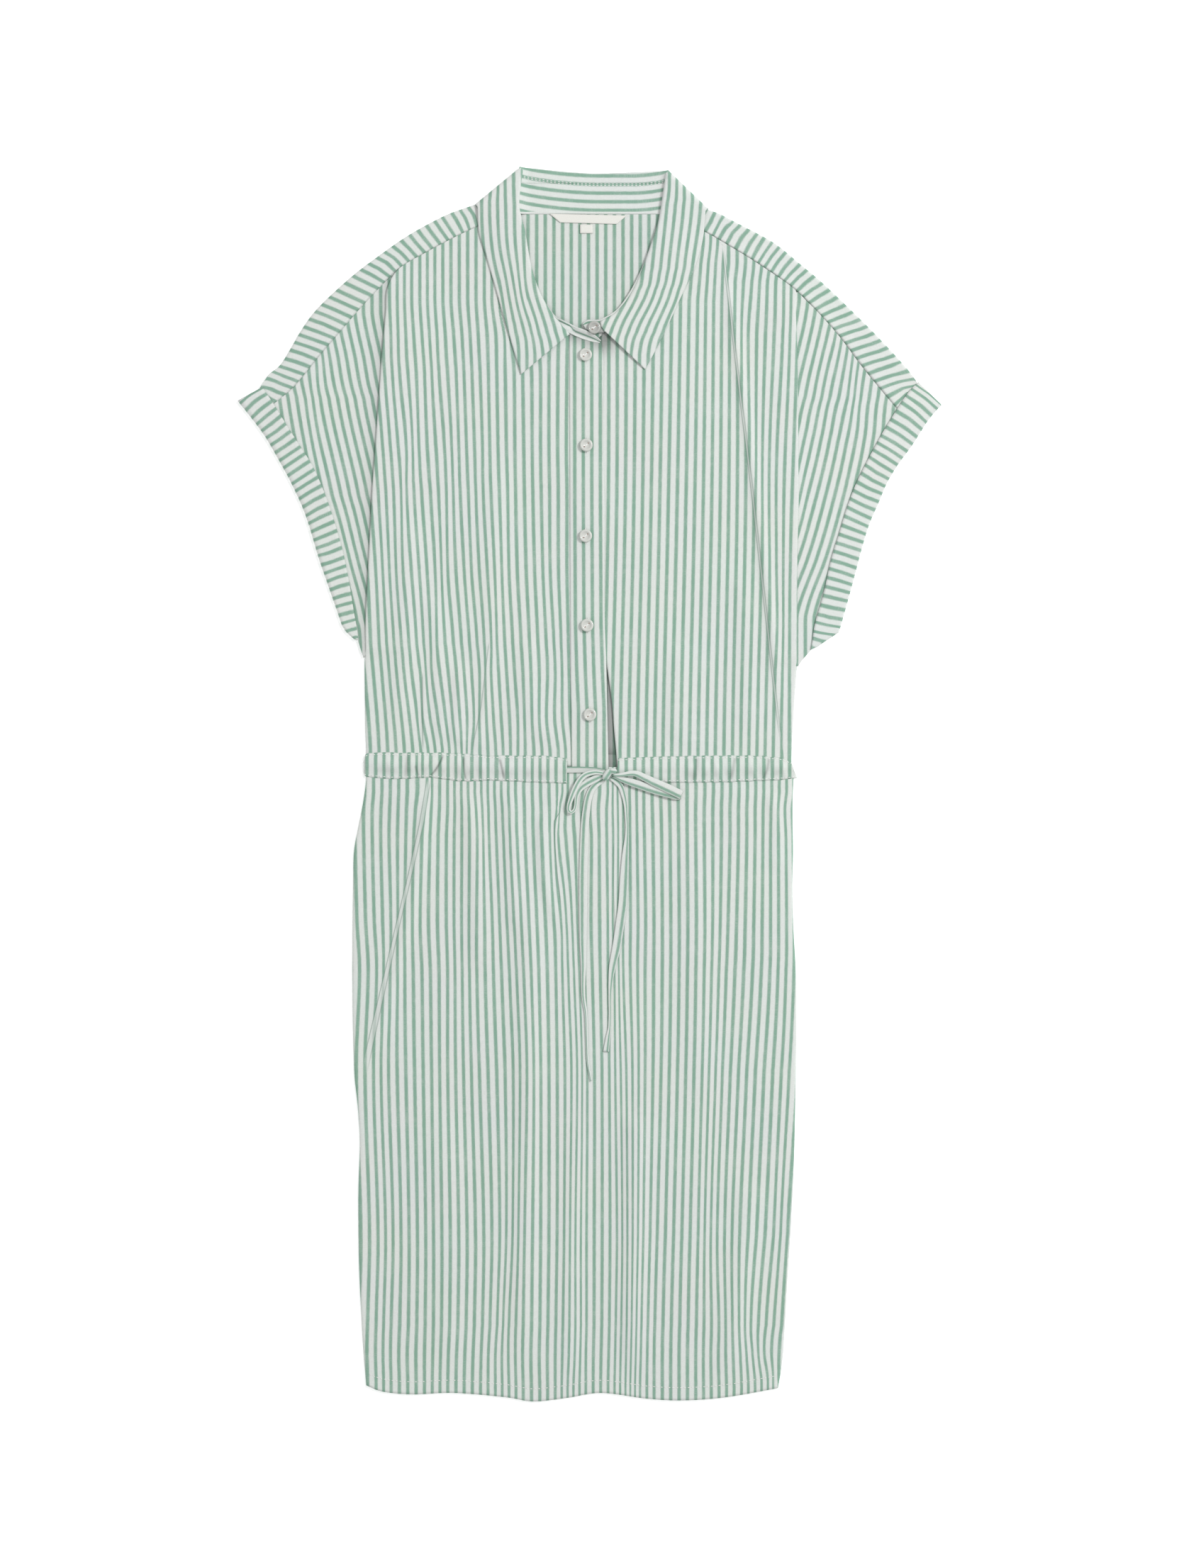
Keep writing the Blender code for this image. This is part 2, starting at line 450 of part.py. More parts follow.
def front(name, table, side, columns=13):
    """Body of one front. Where it lies over its sleeve it rises, and its edge rolls down on the sleeve."""
    rows = []
    for row in table:
        over_sleeve = row.fold is not None
        outline = body_edge(row)
        rolled = 1.0 if over_sleeve or row.level < last_fold(table) else 0.0
        rise = FOLD_RISE if over_sleeve else 0.0
        foot = FRONT_LEVEL + HALF + SEAM + lift(row.level) if over_sleeve else FOOT
        radius = FOLD_RADIUS if over_sleeve else ROLL_RADIUS
        start = outline - side * (HALF + radius)
        top = front_middle(start, row.level) + rise
        points = list(reversed(edge_columns(outline, row.level, (-side, 0), top, foot, rolled, radius)))
        for column in range(1, columns + 1):
            x = mix(start, row.inner, column / columns)
            settle = rise * (1 - ease(abs(x - start) / RISE_REACH))
            points.append((x, row.level, front_middle(x, row.level) + settle))
        rows.append(points)
    return cloth(name, rows, even=False)


def sleeve(name, table, columns=6):
    """Cut-on cap sleeve of one front, from its seam and cuff to under the body's fold."""
    rows = []
    for row in table:
        points = [mix(row.outer, row.inner, column / columns) for column in range(columns + 1)]
        rows.append([(x, row.level, FRONT_LEVEL + lift(row.level)) for x in points])
    return cloth(name, rows)


def back_levels():
    """Levels of the back's sections: every row of the seams that it meets, from the neck down."""
    levels = [STAND_BACK_LOW - SEAM]
    for yoke_table, cuff_table, front_table in SIDES.values():
        levels += [row.outer_y - SHOULDER_DROP for row in yoke_table]
        levels += [row.inner_y for row in cuff_table]
        levels += [row.level for row in front_table if row.level <= last_fold(front_table)]
    levels = sorted((level for level in levels if WAIST_TOP + 5 < level < STAND_BACK_LOW), reverse=True)
    kept = [levels[0]]
    for level in levels[1:]:
        if kept[-1] - level > ROW_STEP:
            kept.append(level)
    return kept + [WAIST_TOP + SEAM]


def back_outline(level):
    """Left and right edge of the back bodice at a level: inside every seam that it meets there."""
    edges = []
    for side, (yoke_table, cuff_table, front_table) in SIDES.items():
        reach = [BACK_TOP_HALF if level > STAND_BACK_LOW - 1 else 2 * abs(yoke_table[-1].outer_x)]
        if level > yoke_table[-1].outer_y - SHOULDER_DROP:
            seam = along(yoke_table, level + SHOULDER_DROP, "outer_y", "outer_x")
            reach.append(abs(seam) - SHOULDER_INSET)
        if cuff_table[-1].inner_y - 1 < level < cuff_table[0].inner_y + 1:
            reach.append(abs(along(cuff_table, level, "inner_y", "inner_x")) - CUFF_BACK_GAP)
        if level <= last_fold(front_table):
            rows = [Edge(body_edge(row), row.level) for row in front_table]
            reach.append(abs(along(rows, level, "y", "x")) - BACK_INSET)
        edges.append(side * min(reach))
    return edges


def flat_back(name, levels, outline, columns):
    """Back panel that lies on the surface under the front."""
    rows = []
    for level in levels:
        left, right = outline(level)
        row = [mix(left, right, column / columns) for column in range(columns + 1)]
        rows.append([(x, level, HALF + lift(level)) for x in row])
    return cloth(name, rows, colour=COTTON_SHADE)


def cuff_front(name, table, side):
    """Turned-up cuff on the front: a double fold round the sleeve's end."""
    rows = []
    upper = FRONT_LEVEL + LAYER
    for row in table:
        outer = Vector((row.outer_x, row.outer_y))
        inner = Vector((row.inner_x, row.inner_y))
        lower = inner + Vector((side * (CUFF_LAP + CUFF_LAP_GAP), 0))
        inward = (inner - outer).normalized()
        turn = outer + inward * (HALF + FOLD_TURN)
        crest = outer + inward * HALF
        path = [(inner, upper), (inner.lerp(turn, 0.5), upper), (turn, upper),
                (crest, upper - FOLD_TURN), (turn, FRONT_LEVEL), (lower, FRONT_LEVEL)]
        rows.append([(place.x, place.y, height) for place, height in path])
    return cloth(name, rows)


def cuff_back(name, table):
    """Back half of a cuff, flat on the surface."""
    rows = []
    for row in table:
        rows.append([(mix(row.inner_x, row.outer_x, share), mix(row.inner_y, row.outer_y, share), HALF)
                     for share in (0.0, 0.5, 1.0)])
    return cloth(name, rows, colour=COTTON_SHADE)


def skirt_front():
    """Front skirt with rolled sides, its folds and a waving hem."""
    columns = 30
    rows = []
    for row in SKIRT:
        hem_share = ease((row.level - SKIRT[-3].level) / (SKIRT[-1].level - SKIRT[-3].level))
        points = []
        foot = 0.0

        def place(x, level=row.level, share=hem_share):
            return level + share * (along(HEM, x, "x", "y") - HEM_MEAN)

        left = edge_columns(row.left, place(row.left), (1, 0),
                            front_middle(row.left + ROLL_INSET, row.level), foot, 1.0)
        right = edge_columns(row.right, place(row.right), (-1, 0),
                             front_middle(row.right - ROLL_INSET, row.level), foot, 1.0)
        points += list(reversed(left))
        start = row.left + ROLL_INSET
        end = row.right - ROLL_INSET
        for column in range(1, columns):
            x = mix(start, end, column / columns)
            points.append((x, place(x), front_middle(x, row.level)))
        points += right
        rows.append(points)
    return cloth("skirt_front", rows)


def skirt_outline(level):
    return (along(SKIRT, level, "level", "left") + BACK_INSET,
            along(SKIRT, level, "level", "right") - BACK_INSET)


def wing(name, table, top, side):
    """Collar fall on one front: high at its roll, down on the front at its edge, turned down at the neck."""
    rows = []
    for row in table:
        points = []
        for share, rise in WING_SECTION:
            x = mix(row.inner_x, row.outer_x, share)
            y = mix(row.inner_y, row.outer_y, share)
            points.append((x, y, FRONT_LEVEL + rise + lift(y)))
        rows.append(points)
    outer = Vector((top.outer_x, top.outer_y))
    inner = Vector((top.inner_x, top.inner_y))
    run = (inner - outer).normalized()
    inward = Vector((run.y, -run.x)) if side < 0 else Vector((-run.y, run.x))
    crest = FRONT_LEVEL + 2 * LAYER + LIFT
    for inset, height in ((HALF + WING_TURN, crest), (HALF + WING_TURN * 0.29, crest - WING_TURN * 0.29),
                          (HALF, crest - WING_TURN), (HALF, 0.0)):
        points = []
        for share, _ in WING_SECTION:
            place = inner.lerp(outer, share) + inward * inset
            points.append((place.x, place.y, height))
        rows.append(points)
    return cloth(name, rows)


def collar_back():
    """Back of the collar fall: from the stand up over the roll, and down behind the neck."""
    rows = []
    top = HALF + LIFT
    for station in range(COLLAR_BACK_STATIONS + 1):
        share = station / COLLAR_BACK_STATIONS
        x = mix(COLLAR_BACK_LEFT, COLLAR_BACK_RIGHT, share)
        roll = along(COLLAR_TOP, x, "x", "y")
        drop_x = mix(COLLAR_DROP[0].x, COLLAR_DROP[-1].x, share)
        drop_y = along(COLLAR_DROP, drop_x, "x", "y")
        turn = roll - HALF - FOLD_TURN
        rows.append([
            (x, STAND_BACK_TOP + SEAM, top), (x, mix(STAND_BACK_TOP, turn, 0.5), top), (x, turn, top),
            (x, roll - HALF, HALF + FOLD_TURN), (x, turn, HALF),
            (mix(x, drop_x, 0.5), mix(turn, drop_y, 0.5), HALF), (drop_x, drop_y, HALF),
        ])
    return cloth("collar_back", rows)


def stand(name, table):
    """Stand under one wing, with its end at the throat."""
    rows = []
    for row in table:
        points = []
        for share in (0.0, 0.5, 1.0):
            x = mix(row.inner_x, row.outer_x, share)
            y = mix(row.inner_y, row.outer_y, share)
            points.append((x, y, FRONT_LEVEL + LAYER + lift(y)))
        rows.append(points)
    return cloth(name, rows)


def stand_back():
    """Back of the stand, its inner side up."""
    rows = []
    for y in (STAND_BACK_LOW, mix(STAND_BACK_LOW, STAND_BACK_TOP, 0.5), STAND_BACK_TOP):
        rows.append([(mix(STAND_BACK_LEFT, STAND_BACK_RIGHT, column / 6), y, HALF + LIFT)
                     for column in range(7)])
    return cloth("collar_stand_back", rows)


def placket():
    """Button band of the left front, on the right front."""
    rows = []
    for row in PLACKET:
        rows.append([(mix(row.left, row.right, column / 4), row.level, FRONT_LEVEL + LAYER)
                     for column in range(5)])
    return cloth("placket_band", rows)


def channel(name, table, parts=3):
    """Length of the drawstring channel, ribbed where the string gathers it."""
    rows = []
    last = len(table) - 1
    for station in range(last * parts + 1):
        index = min(station // parts, last - 1)
        share = station / parts - index
        low = [mix(a, b, share) for a, b in zip(table[index], table[index + 1])]
        row = Rails(*low)
        points = []
        for across in (0.0, 0.25, 0.5, 0.75, 1.0):
            x = mix(row.outer_x, row.inner_x, across)
            y = mix(row.outer_y, row.inner_y, across)
            rib = 0.5 + 0.5 * math.sin(2 * math.pi * (x + 6 * math.sin(x / 23)) / CHANNEL_RIDGE_PITCH)
            free = ease((x - 62) / 16) if x > 0 else ease((-x - 24) / 12)
            swell = CHANNEL_RIDGE * free * (0.35 + 0.65 * rib) * math.sin(math.pi * across)
            points.append((x, y, FRONT_LEVEL + LAYER + swell))
        rows.append(points)
    return cloth(name, rows)


def channel_back():
    """Back length of the channel, flat between the back bodice and the back skirt."""
    left = SKIRT[0].left + BACK_INSET
    right = SKIRT[0].right - BACK_INSET
    rows = []
    for y in (WAIST_LOW, WAIST_TOP):
        rows.append([(mix(left, right, column / 6), y, HALF) for column in range(7)])
    return cloth("waist_channel_back", rows, colour=COTTON_SHADE)


def tie(name, route):
    """Length of the flat drawstring along a route."""
    points = smooth_route(route, TIE_STEP)
    rows = []
    for index, point in enumerate(points):
        ahead = points[min(index + 1, len(points) - 1)] - points[max(index - 1, 0)]
        across = Vector((-ahead.y, ahead.x, 0)).normalized() * TIE_WIDTH / 2
        rows.append([tuple(point + across), tuple(point), tuple(point - across)])
    return cloth(name, rows, wall=TIE_WALL)


def knot():
    """Knot of the bow."""
    shape = bmesh.new()
    bmesh.ops.create_uvsphere(shape, u_segments=14, v_segments=8, radius=1.0)
    for vertex in shape.verts:
        vertex.co = Vector((
            KNOT_CENTRE.x + vertex.co.x * KNOT_HALF.x,
            KNOT_CENTRE.y + vertex.co.y * KNOT_HALF.y,
            KNOT_CENTRE.z + vertex.co.z * KNOT_HALF.z,
        )) * MM
    mesh = bpy.data.meshes.new("drawstring_knot")
    shape.to_mesh(mesh)
    shape.free()
    return keep(mesh, "drawstring_knot", COTTON)


def button(name, place, base):
    """Turned button with a raised rim, on its base height."""
    profile = ((0.0, 0.62), (0.56, 0.62), (0.68, 1.0), (0.9, 1.0), (1.0, 0.75), (1.0, 0.4), (0.8, 0.0), (0.0, 0.0))
    shape = bmesh.new()
    corners = [shape.verts.new((reach * BUTTON_RADIUS * MM, 0, height * BUTTON_DEPTH * MM))
               for reach, height in profile]
    for first, second in zip(corners, corners[1:]):
        shape.edges.new((first, second))
    mesh = bpy.data.meshes.new(name)
    shape.to_mesh(mesh)
    shape.free()
    made = keep(mesh, name, PEARL, 0.3)
    turned = made.modifiers.new("turned", "SCREW")
    turned.steps = 18
    turned.render_steps = 18
    turned.use_merge_vertices = True
    turned.merge_threshold = 0.00001
    made.location = (place.x * MM, place.y * MM, base * MM)
    return made


def label(name, corners, base):
    """Flat woven label, a little above the cloth that it is sewn on."""
    rows = []
    left_top, right_top, right_low, left_low = corners
    for left, right in ((left_low, right_low), (left_top, right_top)):
        rows.append([(left.x, left.y, base), (right.x, right.y, base)])
    return cloth(name, rows, wall=LABEL_WALL, colour=LABEL_WHITE)


SIDES = {-1: (YOKE_LEFT, CUFF_LEFT, FRONT_LEFT), 1: (YOKE_RIGHT, CUFF_RIGHT, FRONT_RIGHT)}

for stale in list(bpy.data.objects):
    bpy.data.objects.remove(stale, do_unlink=True)
COLLECTION = bpy.data.collections.new("shirt_dress")
bpy.context.scene.collection.children.link(COLLECTION)

flat_back("back_bodice", back_levels(), back_outline, 5)
skirt_levels = [WAIST_LOW - SEAM] + [row.level for row in SKIRT[2:-1]] + [BACK_HEM]
flat_back("back_skirt", skirt_levels, skirt_outline, 4)
channel_back()
skirt_front()
front("front_left", FRONT_LEFT, -1)
front("front_right", FRONT_RIGHT, 1)
sleeve("sleeve_left", SLEEVE_LEFT)
sleeve("sleeve_right", SLEEVE_RIGHT)
yoke("yoke_left", YOKE_LEFT)
yoke("yoke_right", YOKE_RIGHT)
cuff_front("cuff_left_front", CUFF_LEFT, -1)
cuff_front("cuff_right_front", CUFF_RIGHT, 1)
cuff_back("cuff_left_back", CUFF_LEFT)
cuff_back("cuff_right_back", CUFF_RIGHT)
placket()
stand("collar_stand_left", STAND_LEFT)
stand("collar_stand_right", STAND_RIGHT)
stand_back()
wing("collar_wing_left", WING_LEFT, WING_TOP_LEFT, -1)
wing("collar_wing_right", WING_RIGHT, WING_TOP_RIGHT, 1)
collar_back()
channel("waist_channel_left", CHANNEL_LEFT)
channel("waist_channel_right", CHANNEL_RIGHT)
tie("drawstring_strap", STRAP)
tie("drawstring_loop_left", LOOP_LEFT)
tie("drawstring_loop_right", LOOP_RIGHT)
tie("drawstring_tail_left", TAIL_LEFT)
tie("drawstring_tail_right", TAIL_RIGHT)
knot()
for number, spot in enumerate(BUTTON_PLACES, start=1):
    button(f"button_{number}", spot, BUTTON_TOP_LEVEL)
button("button_stand", STAND_BUTTON, BUTTON_TOP_LEVEL + lift(STAND_BUTTON.y + BUTTON_RADIUS))
label_base = HALF + LIFT + HALF + SEAM + LABEL_WALL / 2
label("neck_label", LABEL, label_base)
label("size_tab", TAB, label_base)
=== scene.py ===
"""Looks of a striped cotton shirt dress, laid flat on its back with its drawstring tied in a bow.

Tables and forms are in millimetres and are turned to metres where a mesh is made.
+X is the viewer's right, +Y runs from the waist to the neck, +Z is up, out of the front.
"""
import math
from collections import namedtuple

import bmesh
import bpy
import numpy as np
from mathutils import Matrix, Vector


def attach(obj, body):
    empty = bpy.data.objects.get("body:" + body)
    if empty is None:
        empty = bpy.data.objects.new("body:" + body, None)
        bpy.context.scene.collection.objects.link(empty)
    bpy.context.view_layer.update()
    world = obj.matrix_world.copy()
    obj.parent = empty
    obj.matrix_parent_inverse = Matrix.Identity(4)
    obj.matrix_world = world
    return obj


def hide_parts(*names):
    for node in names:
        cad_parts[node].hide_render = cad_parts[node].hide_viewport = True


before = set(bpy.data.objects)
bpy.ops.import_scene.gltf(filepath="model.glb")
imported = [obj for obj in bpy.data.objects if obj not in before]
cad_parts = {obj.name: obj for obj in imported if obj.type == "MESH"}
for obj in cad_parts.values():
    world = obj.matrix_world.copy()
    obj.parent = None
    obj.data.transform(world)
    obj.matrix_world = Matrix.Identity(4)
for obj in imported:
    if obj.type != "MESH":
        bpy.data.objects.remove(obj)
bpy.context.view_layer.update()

bl_info = {
    "name": "Laid-flat shirt dress",
    "version": (1, 0, 0),
    "blender": (4, 5, 0),
    "location": "3D View > Sidebar > Dress",
    "description": "Makes a striped cotton shirt dress that lies flat, piece by piece",
    "category": "Add Mesh",
}

MM = 0.001
CLOTH = 1.2                      # wall of every cloth piece
SEAM = 0.3                       # gap between touching pieces
LAYER = CLOTH + SEAM             # height from one layer to the next
HALF = CLOTH / 2
FRONT_LEVEL = HALF + LAYER       # middle of the wall of the front panels
ROLL_RADIUS = 1.5                # cloth turning down at an outer edge
ROLL_INSET = HALF + ROLL_RADIUS  # where that turn starts, in from the outline
FOLD_TURN = LAYER / 2            # radius of a flat double fold
FOOT = 0.35                      # a rolled edge ends this far above what it rests on
BACK_INSET = 2.1                 # the back lies this far inside the sides
SHOULDER_DROP = 2.4              # and this far below and inside the shoulder line
SHOULDER_INSET = 1.4
BACK_TOP_HALF = 82.0
ROW_STEP = 1.2                   # back sections closer than this are left out
CUFF_LAP = 3.5                   # sleeve end hidden under the turned-up cuff
CUFF_LAP_GAP = 0.4
CUFF_BACK_GAP = 0.9
FOLD_RISE = LAYER + 0.9          # height of the body's edge over the sleeve
FOLD_RADIUS = 0.9
RISE_REACH = 55.0                # the body settles from that fold within this distance
WAIST_TOP = 22.0                 # drawstring channel, upper and lower edge
WAIST_LOW = 2.0
WAIST_SEAM = 13.5                # bodice and skirt meet under the channel
TIE_WALL = 1.2
BUTTON_RADIUS = 5.0
BUTTON_DEPTH = 2.6
RIDGE_END = 0.16                 # share of a ridge over which it rises from nothing
LINE_START = 0.04                # the same for a sharp crease, at its top and at its foot
LINE_END = 0.12
LINE_EASE = 12                   # the grid is drawn towards a sharp crease from this far beyond its ends,
LINE_REACH = 9.0                 # from this far beside it
LINE_PULL = 0.55                 # and by this share of the way
MIDDLE_X = 5                     # placket, bow and tails lie within this of the middle line
MIDDLE_HALF = 24
TAIL_END = -250                  # and above this level
COLLAR_END = 300                 # the collar lies above this level
COLLAR_REACH = 92                # and within this of the middle
ROLL_COLUMNS = 4.0               # grid columns from a turned edge to the flat cloth
FRONT_BLANK = 60                 # the fronts' plain fold lies right of this, the skirt's left of the next
SKIRT_BLANK = -100
STRIP_WIDTH = 20.0               # length that the weave runs across a cuff or a shoulder strip
COLLAR_SEAM = 465.2              # a stripe of the neck lies on this level, where stand and collar meet
COLLAR_TUCK = 0.8                # the collar starts this far below the stand's upper edge
EDGE_PITCH = 6.6                 # stripe pitch of the placket, and of the channel beyond its own stripes
LABEL_PITCH = 6.7
STAND_OPEN = 366                 # below this level a stand lies in the open at the throat
STAND_STITCHES = (464.4, 465.6)  # levels of the two rows of stitches along the stand's back
CHANNEL_WAVE = 13.5              # pitch of the channel's puckered edges
CHANNEL_OUTER = 120              # its outer ends are flattened beyond this
# Painted shade darkens the back where the fronts stand apart
GAP_X = 16                       # the back is in shade where the fronts stand apart, up to this level
GAP_HALF = 24
GAP_TOP = 128
HEM_DEPTH = 9.9                  # the hem's stitches run this far above its edge, from left to right
HEM_STITCHES = (-170.0, 143.0)

# Tables: one row for each section, in millimetres
Rails = namedtuple("Rails", "outer_x outer_y inner_x inner_y")
FrontRow = namedtuple("FrontRow", "level outer fold inner")
Sleeve = namedtuple("Sleeve", "level outer inner")
Level = namedtuple("Level", "level left right")
Edge = namedtuple("Edge", "x y")
Fold = namedtuple("Fold", "x0 y0 x1 y1 bow width height")
Bend = namedtuple("Bend", "x y z width")
Lobe = namedtuple("Lobe", "x y z long wide high degrees")
Shade = namedtuple("Shade", "x y width height depth")


def table_of(kind, *rows):
    """Table whose rows are all of one kind."""
    return tuple(kind(*row) for row in rows)


# Shoulder strips: outer rail on the shoulder line, inner rail on the forward seam
YOKE_LEFT = table_of(
    Rails, (-84.0, 451.4, -76.0, 437.5), (-97.0, 447.0, -90.0, 431.5), (-114.1, 440.4, -104.0, 425.0),
    (-141.1, 425.6, -127.0, 412.9), (-164.7, 409.1, -148.0, 400.5), (-182.9, 395.3, -163.0, 385.5),
    (-202.7, 377.7, -180.0, 367.5), (-215.3, 364.5, -192.0, 353.5), (-225.2, 350.2, -202.0, 342.0),
    (-232.4, 337.6, -211.5, 331.0), (-240.6, 324.9, -223.0, 316.5), (-249.0, 318.3, -233.0, 305.5),
    (-256.0, 308.0, -247.0, 294.0),
)
YOKE_RIGHT = table_of(
    Rails, (87.0, 447.6, 80.0, 433.5), (100.0, 443.0, 93.5, 426.8), (110.3, 437.7, 103.5, 421.0),
    (135.6, 424.5, 123.0, 409.3), (147.1, 417.3, 134.5, 401.9), (163.6, 403.6, 146.5, 393.9),
    (181.2, 388.7, 161.0, 383.0), (206.5, 364.5, 178.5, 365.5), (225.2, 345.8, 195.0, 346.8),
    (243.9, 325.5, 211.0, 325.3), (253.0, 314.5, 227.5, 305.0), (255.0, 310.8, 239.4, 290.9),
)
# Cuffs: outer rail on the turned edge, inner rail on the free edge of the turn-up
CUFF_LEFT = table_of(
    Rails, (-273.1, 297.4, -253.8, 307.9), (-262.1, 283.7, -245.6, 295.8), (-251.6, 269.4, -235.7, 279.8),
    (-241.7, 252.3, -225.2, 263.3), (-231.3, 233.1, -213.7, 244.6), (-220.3, 208.3, -202.1, 216.6),
    (-210.4, 175.9, -192.2, 183.6), (-203.2, 155.0, -187.3, 161.6), (-196.1, 134.6, -183.4, 137.9),
    (-191.8, 122.4, -181.3, 125.5), (-187.8, 116.9, -180.2, 118.8), (-183.2, 112.9, -179.6, 114.0),
    (-181.2, 111.5, -179.3, 112.4),
)
CUFF_RIGHT = table_of(
    Rails, (273.1, 294.1, 254.9, 311.7), (263.2, 282.6, 246.1, 302.4), (250.5, 262.9, 230.2, 277.6),
    (239.5, 247.9, 221.9, 262.8), (230.7, 233.1, 214.8, 249.6), (224.7, 218.8, 206.0, 231.4),
    (217.5, 202.3, 199.4, 213.8), (212.0, 184.7, 193.3, 193.5), (206.0, 162.1, 187.3, 174.2),
    (200.5, 141.8, 181.8, 148.9), (194.2, 119.8, 174.9, 124.5), (192.0, 117.0, 173.2, 113.5),
    (183.4, 111.4, 172.4, 108.0), (176.5, 106.6, 171.7, 104.4),
)
# Fronts: outer edge, edge of the lengthways fold over the sleeve, inner edge
FRONT_LEFT = table_of(
    FrontRow, (437.5, -75.5, None, -60.0), (431.5, -89.5, None, -58.0), (425.0, -103.5, None, -56.0),
    (412.9, -126.5, None, -53.0), (400.5, -147.5, None, -50.5), (385.5, -162.5, -156.6, -46.0),
    (367.5, -179.5, -158.1, -37.0), (353.5, -191.5, -159.3, -20.0), (342.0, -201.5, -160.6, -13.0),
    (331.0, -211.0, -161.4, -13.0), (316.5, -222.5, -162.3, -13.0), (305.5, -232.5, -163.2, -13.0),
    (294.0, -246.5, -164.1, -13.0), (279.8, -239.2, -165.0, -13.0), (263.3, -228.7, -166.1, -13.0),
    (244.6, -217.2, -167.6, -13.0), (216.6, -205.6, -169.4, -13.0), (183.6, -195.7, -171.0, -13.0),
    (161.6, -190.8, -172.2, -13.0), (137.9, -186.9, -173.5, -13.0), (120.5, -183.9, -174.0, -13.0),
    (112.0, -179.6, -173.9, -13.0), (104.0, -177.5, -173.8, -13.0), (97.0, -174.7, None, -13.0),
    (70.0, -174.6, None, -13.0), (45.0, -174.4, None, -13.0), (27.0, -173.7, None, -13.0),
    (WAIST_SEAM, -173.5, None, -13.0),
)
FRONT_RIGHT = table_of(
    FrontRow, (433.5, 79.5, None, 66.0), (426.8, 93.0, None, 63.5), (421.0, 103.0, None, 60.0),
    (409.3, 122.5, None, 55.0), (401.9, 134.0, None, 52.0), (393.9, 146.0, None, 48.5),
    (383.0, 160.5, None, 43.0), (365.5, 178.0, 160.2, 31.0), (346.8, 194.5, 160.9, 8.0),
    (325.3, 210.5, 161.4, -8.0), (305.0, 227.0, 161.8, -8.0), (290.5, 238.9, 162.0, -8.0),
    (277.6, 233.7, 162.0, -8.0), (262.8, 225.4, 162.0, -8.0), (249.6, 218.3, 162.1, -8.0),
    (231.4, 209.5, 162.4, -8.0), (213.8, 202.9, 162.3, -8.0), (193.5, 196.8, 161.8, -8.0),
    (174.2, 190.8, 161.4, -6.0), (148.9, 185.3, 161.3, -1.0), (126.9, 179.8, 161.2, 5.0),
    (110.5, 176.6, 161.1, 9.5), (103.0, 171.6, 161.1, 11.5), (96.0, 165.0, 161.0, 12.6),
    (89.5, 161.0, None, 13.8), (65.0, 159.3, None, 17.2), (40.0, 157.8, None, 19.3),
    (24.1, 157.0, None, 20.8), (WAIST_SEAM, 157.0, None, 21.5),
)
# Cap sleeves: outer edge, and inner edge under (at its ends beside) the body's fold
SLEEVE_LEFT = table_of(
    Sleeve, (393.0, -155.0, -153.0), (384.0, -163.9, -152.0), (367.5, -179.5, -151.0),
    (353.5, -191.5, -151.0), (342.0, -201.5, -151.0), (331.0, -211.0, -152.0), (316.5, -222.5, -153.0),
    (305.5, -232.5, -154.0), (294.0, -246.5, -155.0), (279.8, -239.2, -156.0), (263.3, -228.7, -157.0),
    (244.6, -217.2, -158.5), (216.6, -205.6, -160.5), (183.6, -195.7, -162.0), (161.6, -190.8, -163.0),
    (137.9, -186.9, -165.5), (120.5, -183.9, -170.0), (111.5, -179.7, -171.5), (106.0, -178.0, -172.0),
    (102.5, -176.9, -173.0), (100.0, -176.1, -174.0), (98.0, -175.4, -174.7),
)
SLEEVE_RIGHT = table_of(
    Sleeve, (381.5, 161.9, 160.8), (373.5, 169.8, 160.0), (365.5, 178.0, 158.0), (346.8, 194.5, 152.0),
    (325.3, 210.5, 152.0), (305.0, 227.0, 152.5), (290.5, 238.9, 153.0), (277.6, 233.7, 153.0),
    (262.8, 225.4, 153.0), (249.6, 218.3, 153.0), (231.4, 209.5, 153.0), (213.8, 202.9, 153.0),
    (193.5, 196.8, 153.0), (174.2, 190.8, 153.0), (148.9, 185.3, 153.0), (126.9, 179.8, 154.0),
    (110.5, 176.4, 156.0), (104.4, 172.2, 157.0), (100.0, 168.4, 158.0), (96.0, 165.0, 159.0),
    (91.5, 161.9, 159.8),
)
# Line on the left sleeve along which the body's fold has its painted shadow
SLEEVE_FOLD = table_of(Edge, (-174.0, 120.0), (-170.2, 200.0), (-156.4, 390.0))
SKIRT = table_of(
    Level, (WAIST_SEAM - SEAM, -173.5, 157.5), (4.0, -173.6, 158.5), (-6.0, -174.6, 158.0),
    (-19.4, -176.8, 157.8), (-35.3, -180.1, 157.9), (-54.0, -183.1, 158.1), (-80.0, -183.8, 157.6),
    (-110.0, -184.2, 158.3), (-145.0, -184.3, 160.2), (-185.0, -184.0, 160.9), (-225.0, -182.7, 160.3),
    (-250.0, -180.1, 159.8), (-280.0, -178.5, 159.2), (-315.0, -179.5, 158.0), (-350.0, -179.6, 156.2),
    (-385.0, -178.6, 153.9), (-420.0, -177.0, 151.9), (-450.0, -175.3, 149.9), (-472.0, -173.5, 146.5),
)
HEM = table_of(
    Edge, (-173.5, -466.5), (-160.9, -471.5), (-137.8, -473.7), (-105.3, -472.6), (-65.2, -475.9),
    (-43.7, -479.2), (-17.3, -476.4), (9.1, -472.6), (44.3, -477.0), (72.0, -478.4), (105.9, -475.9),
    (146.5, -468.8),
)
HEM_MEAN = -472.0
BACK_HEM = -463.0

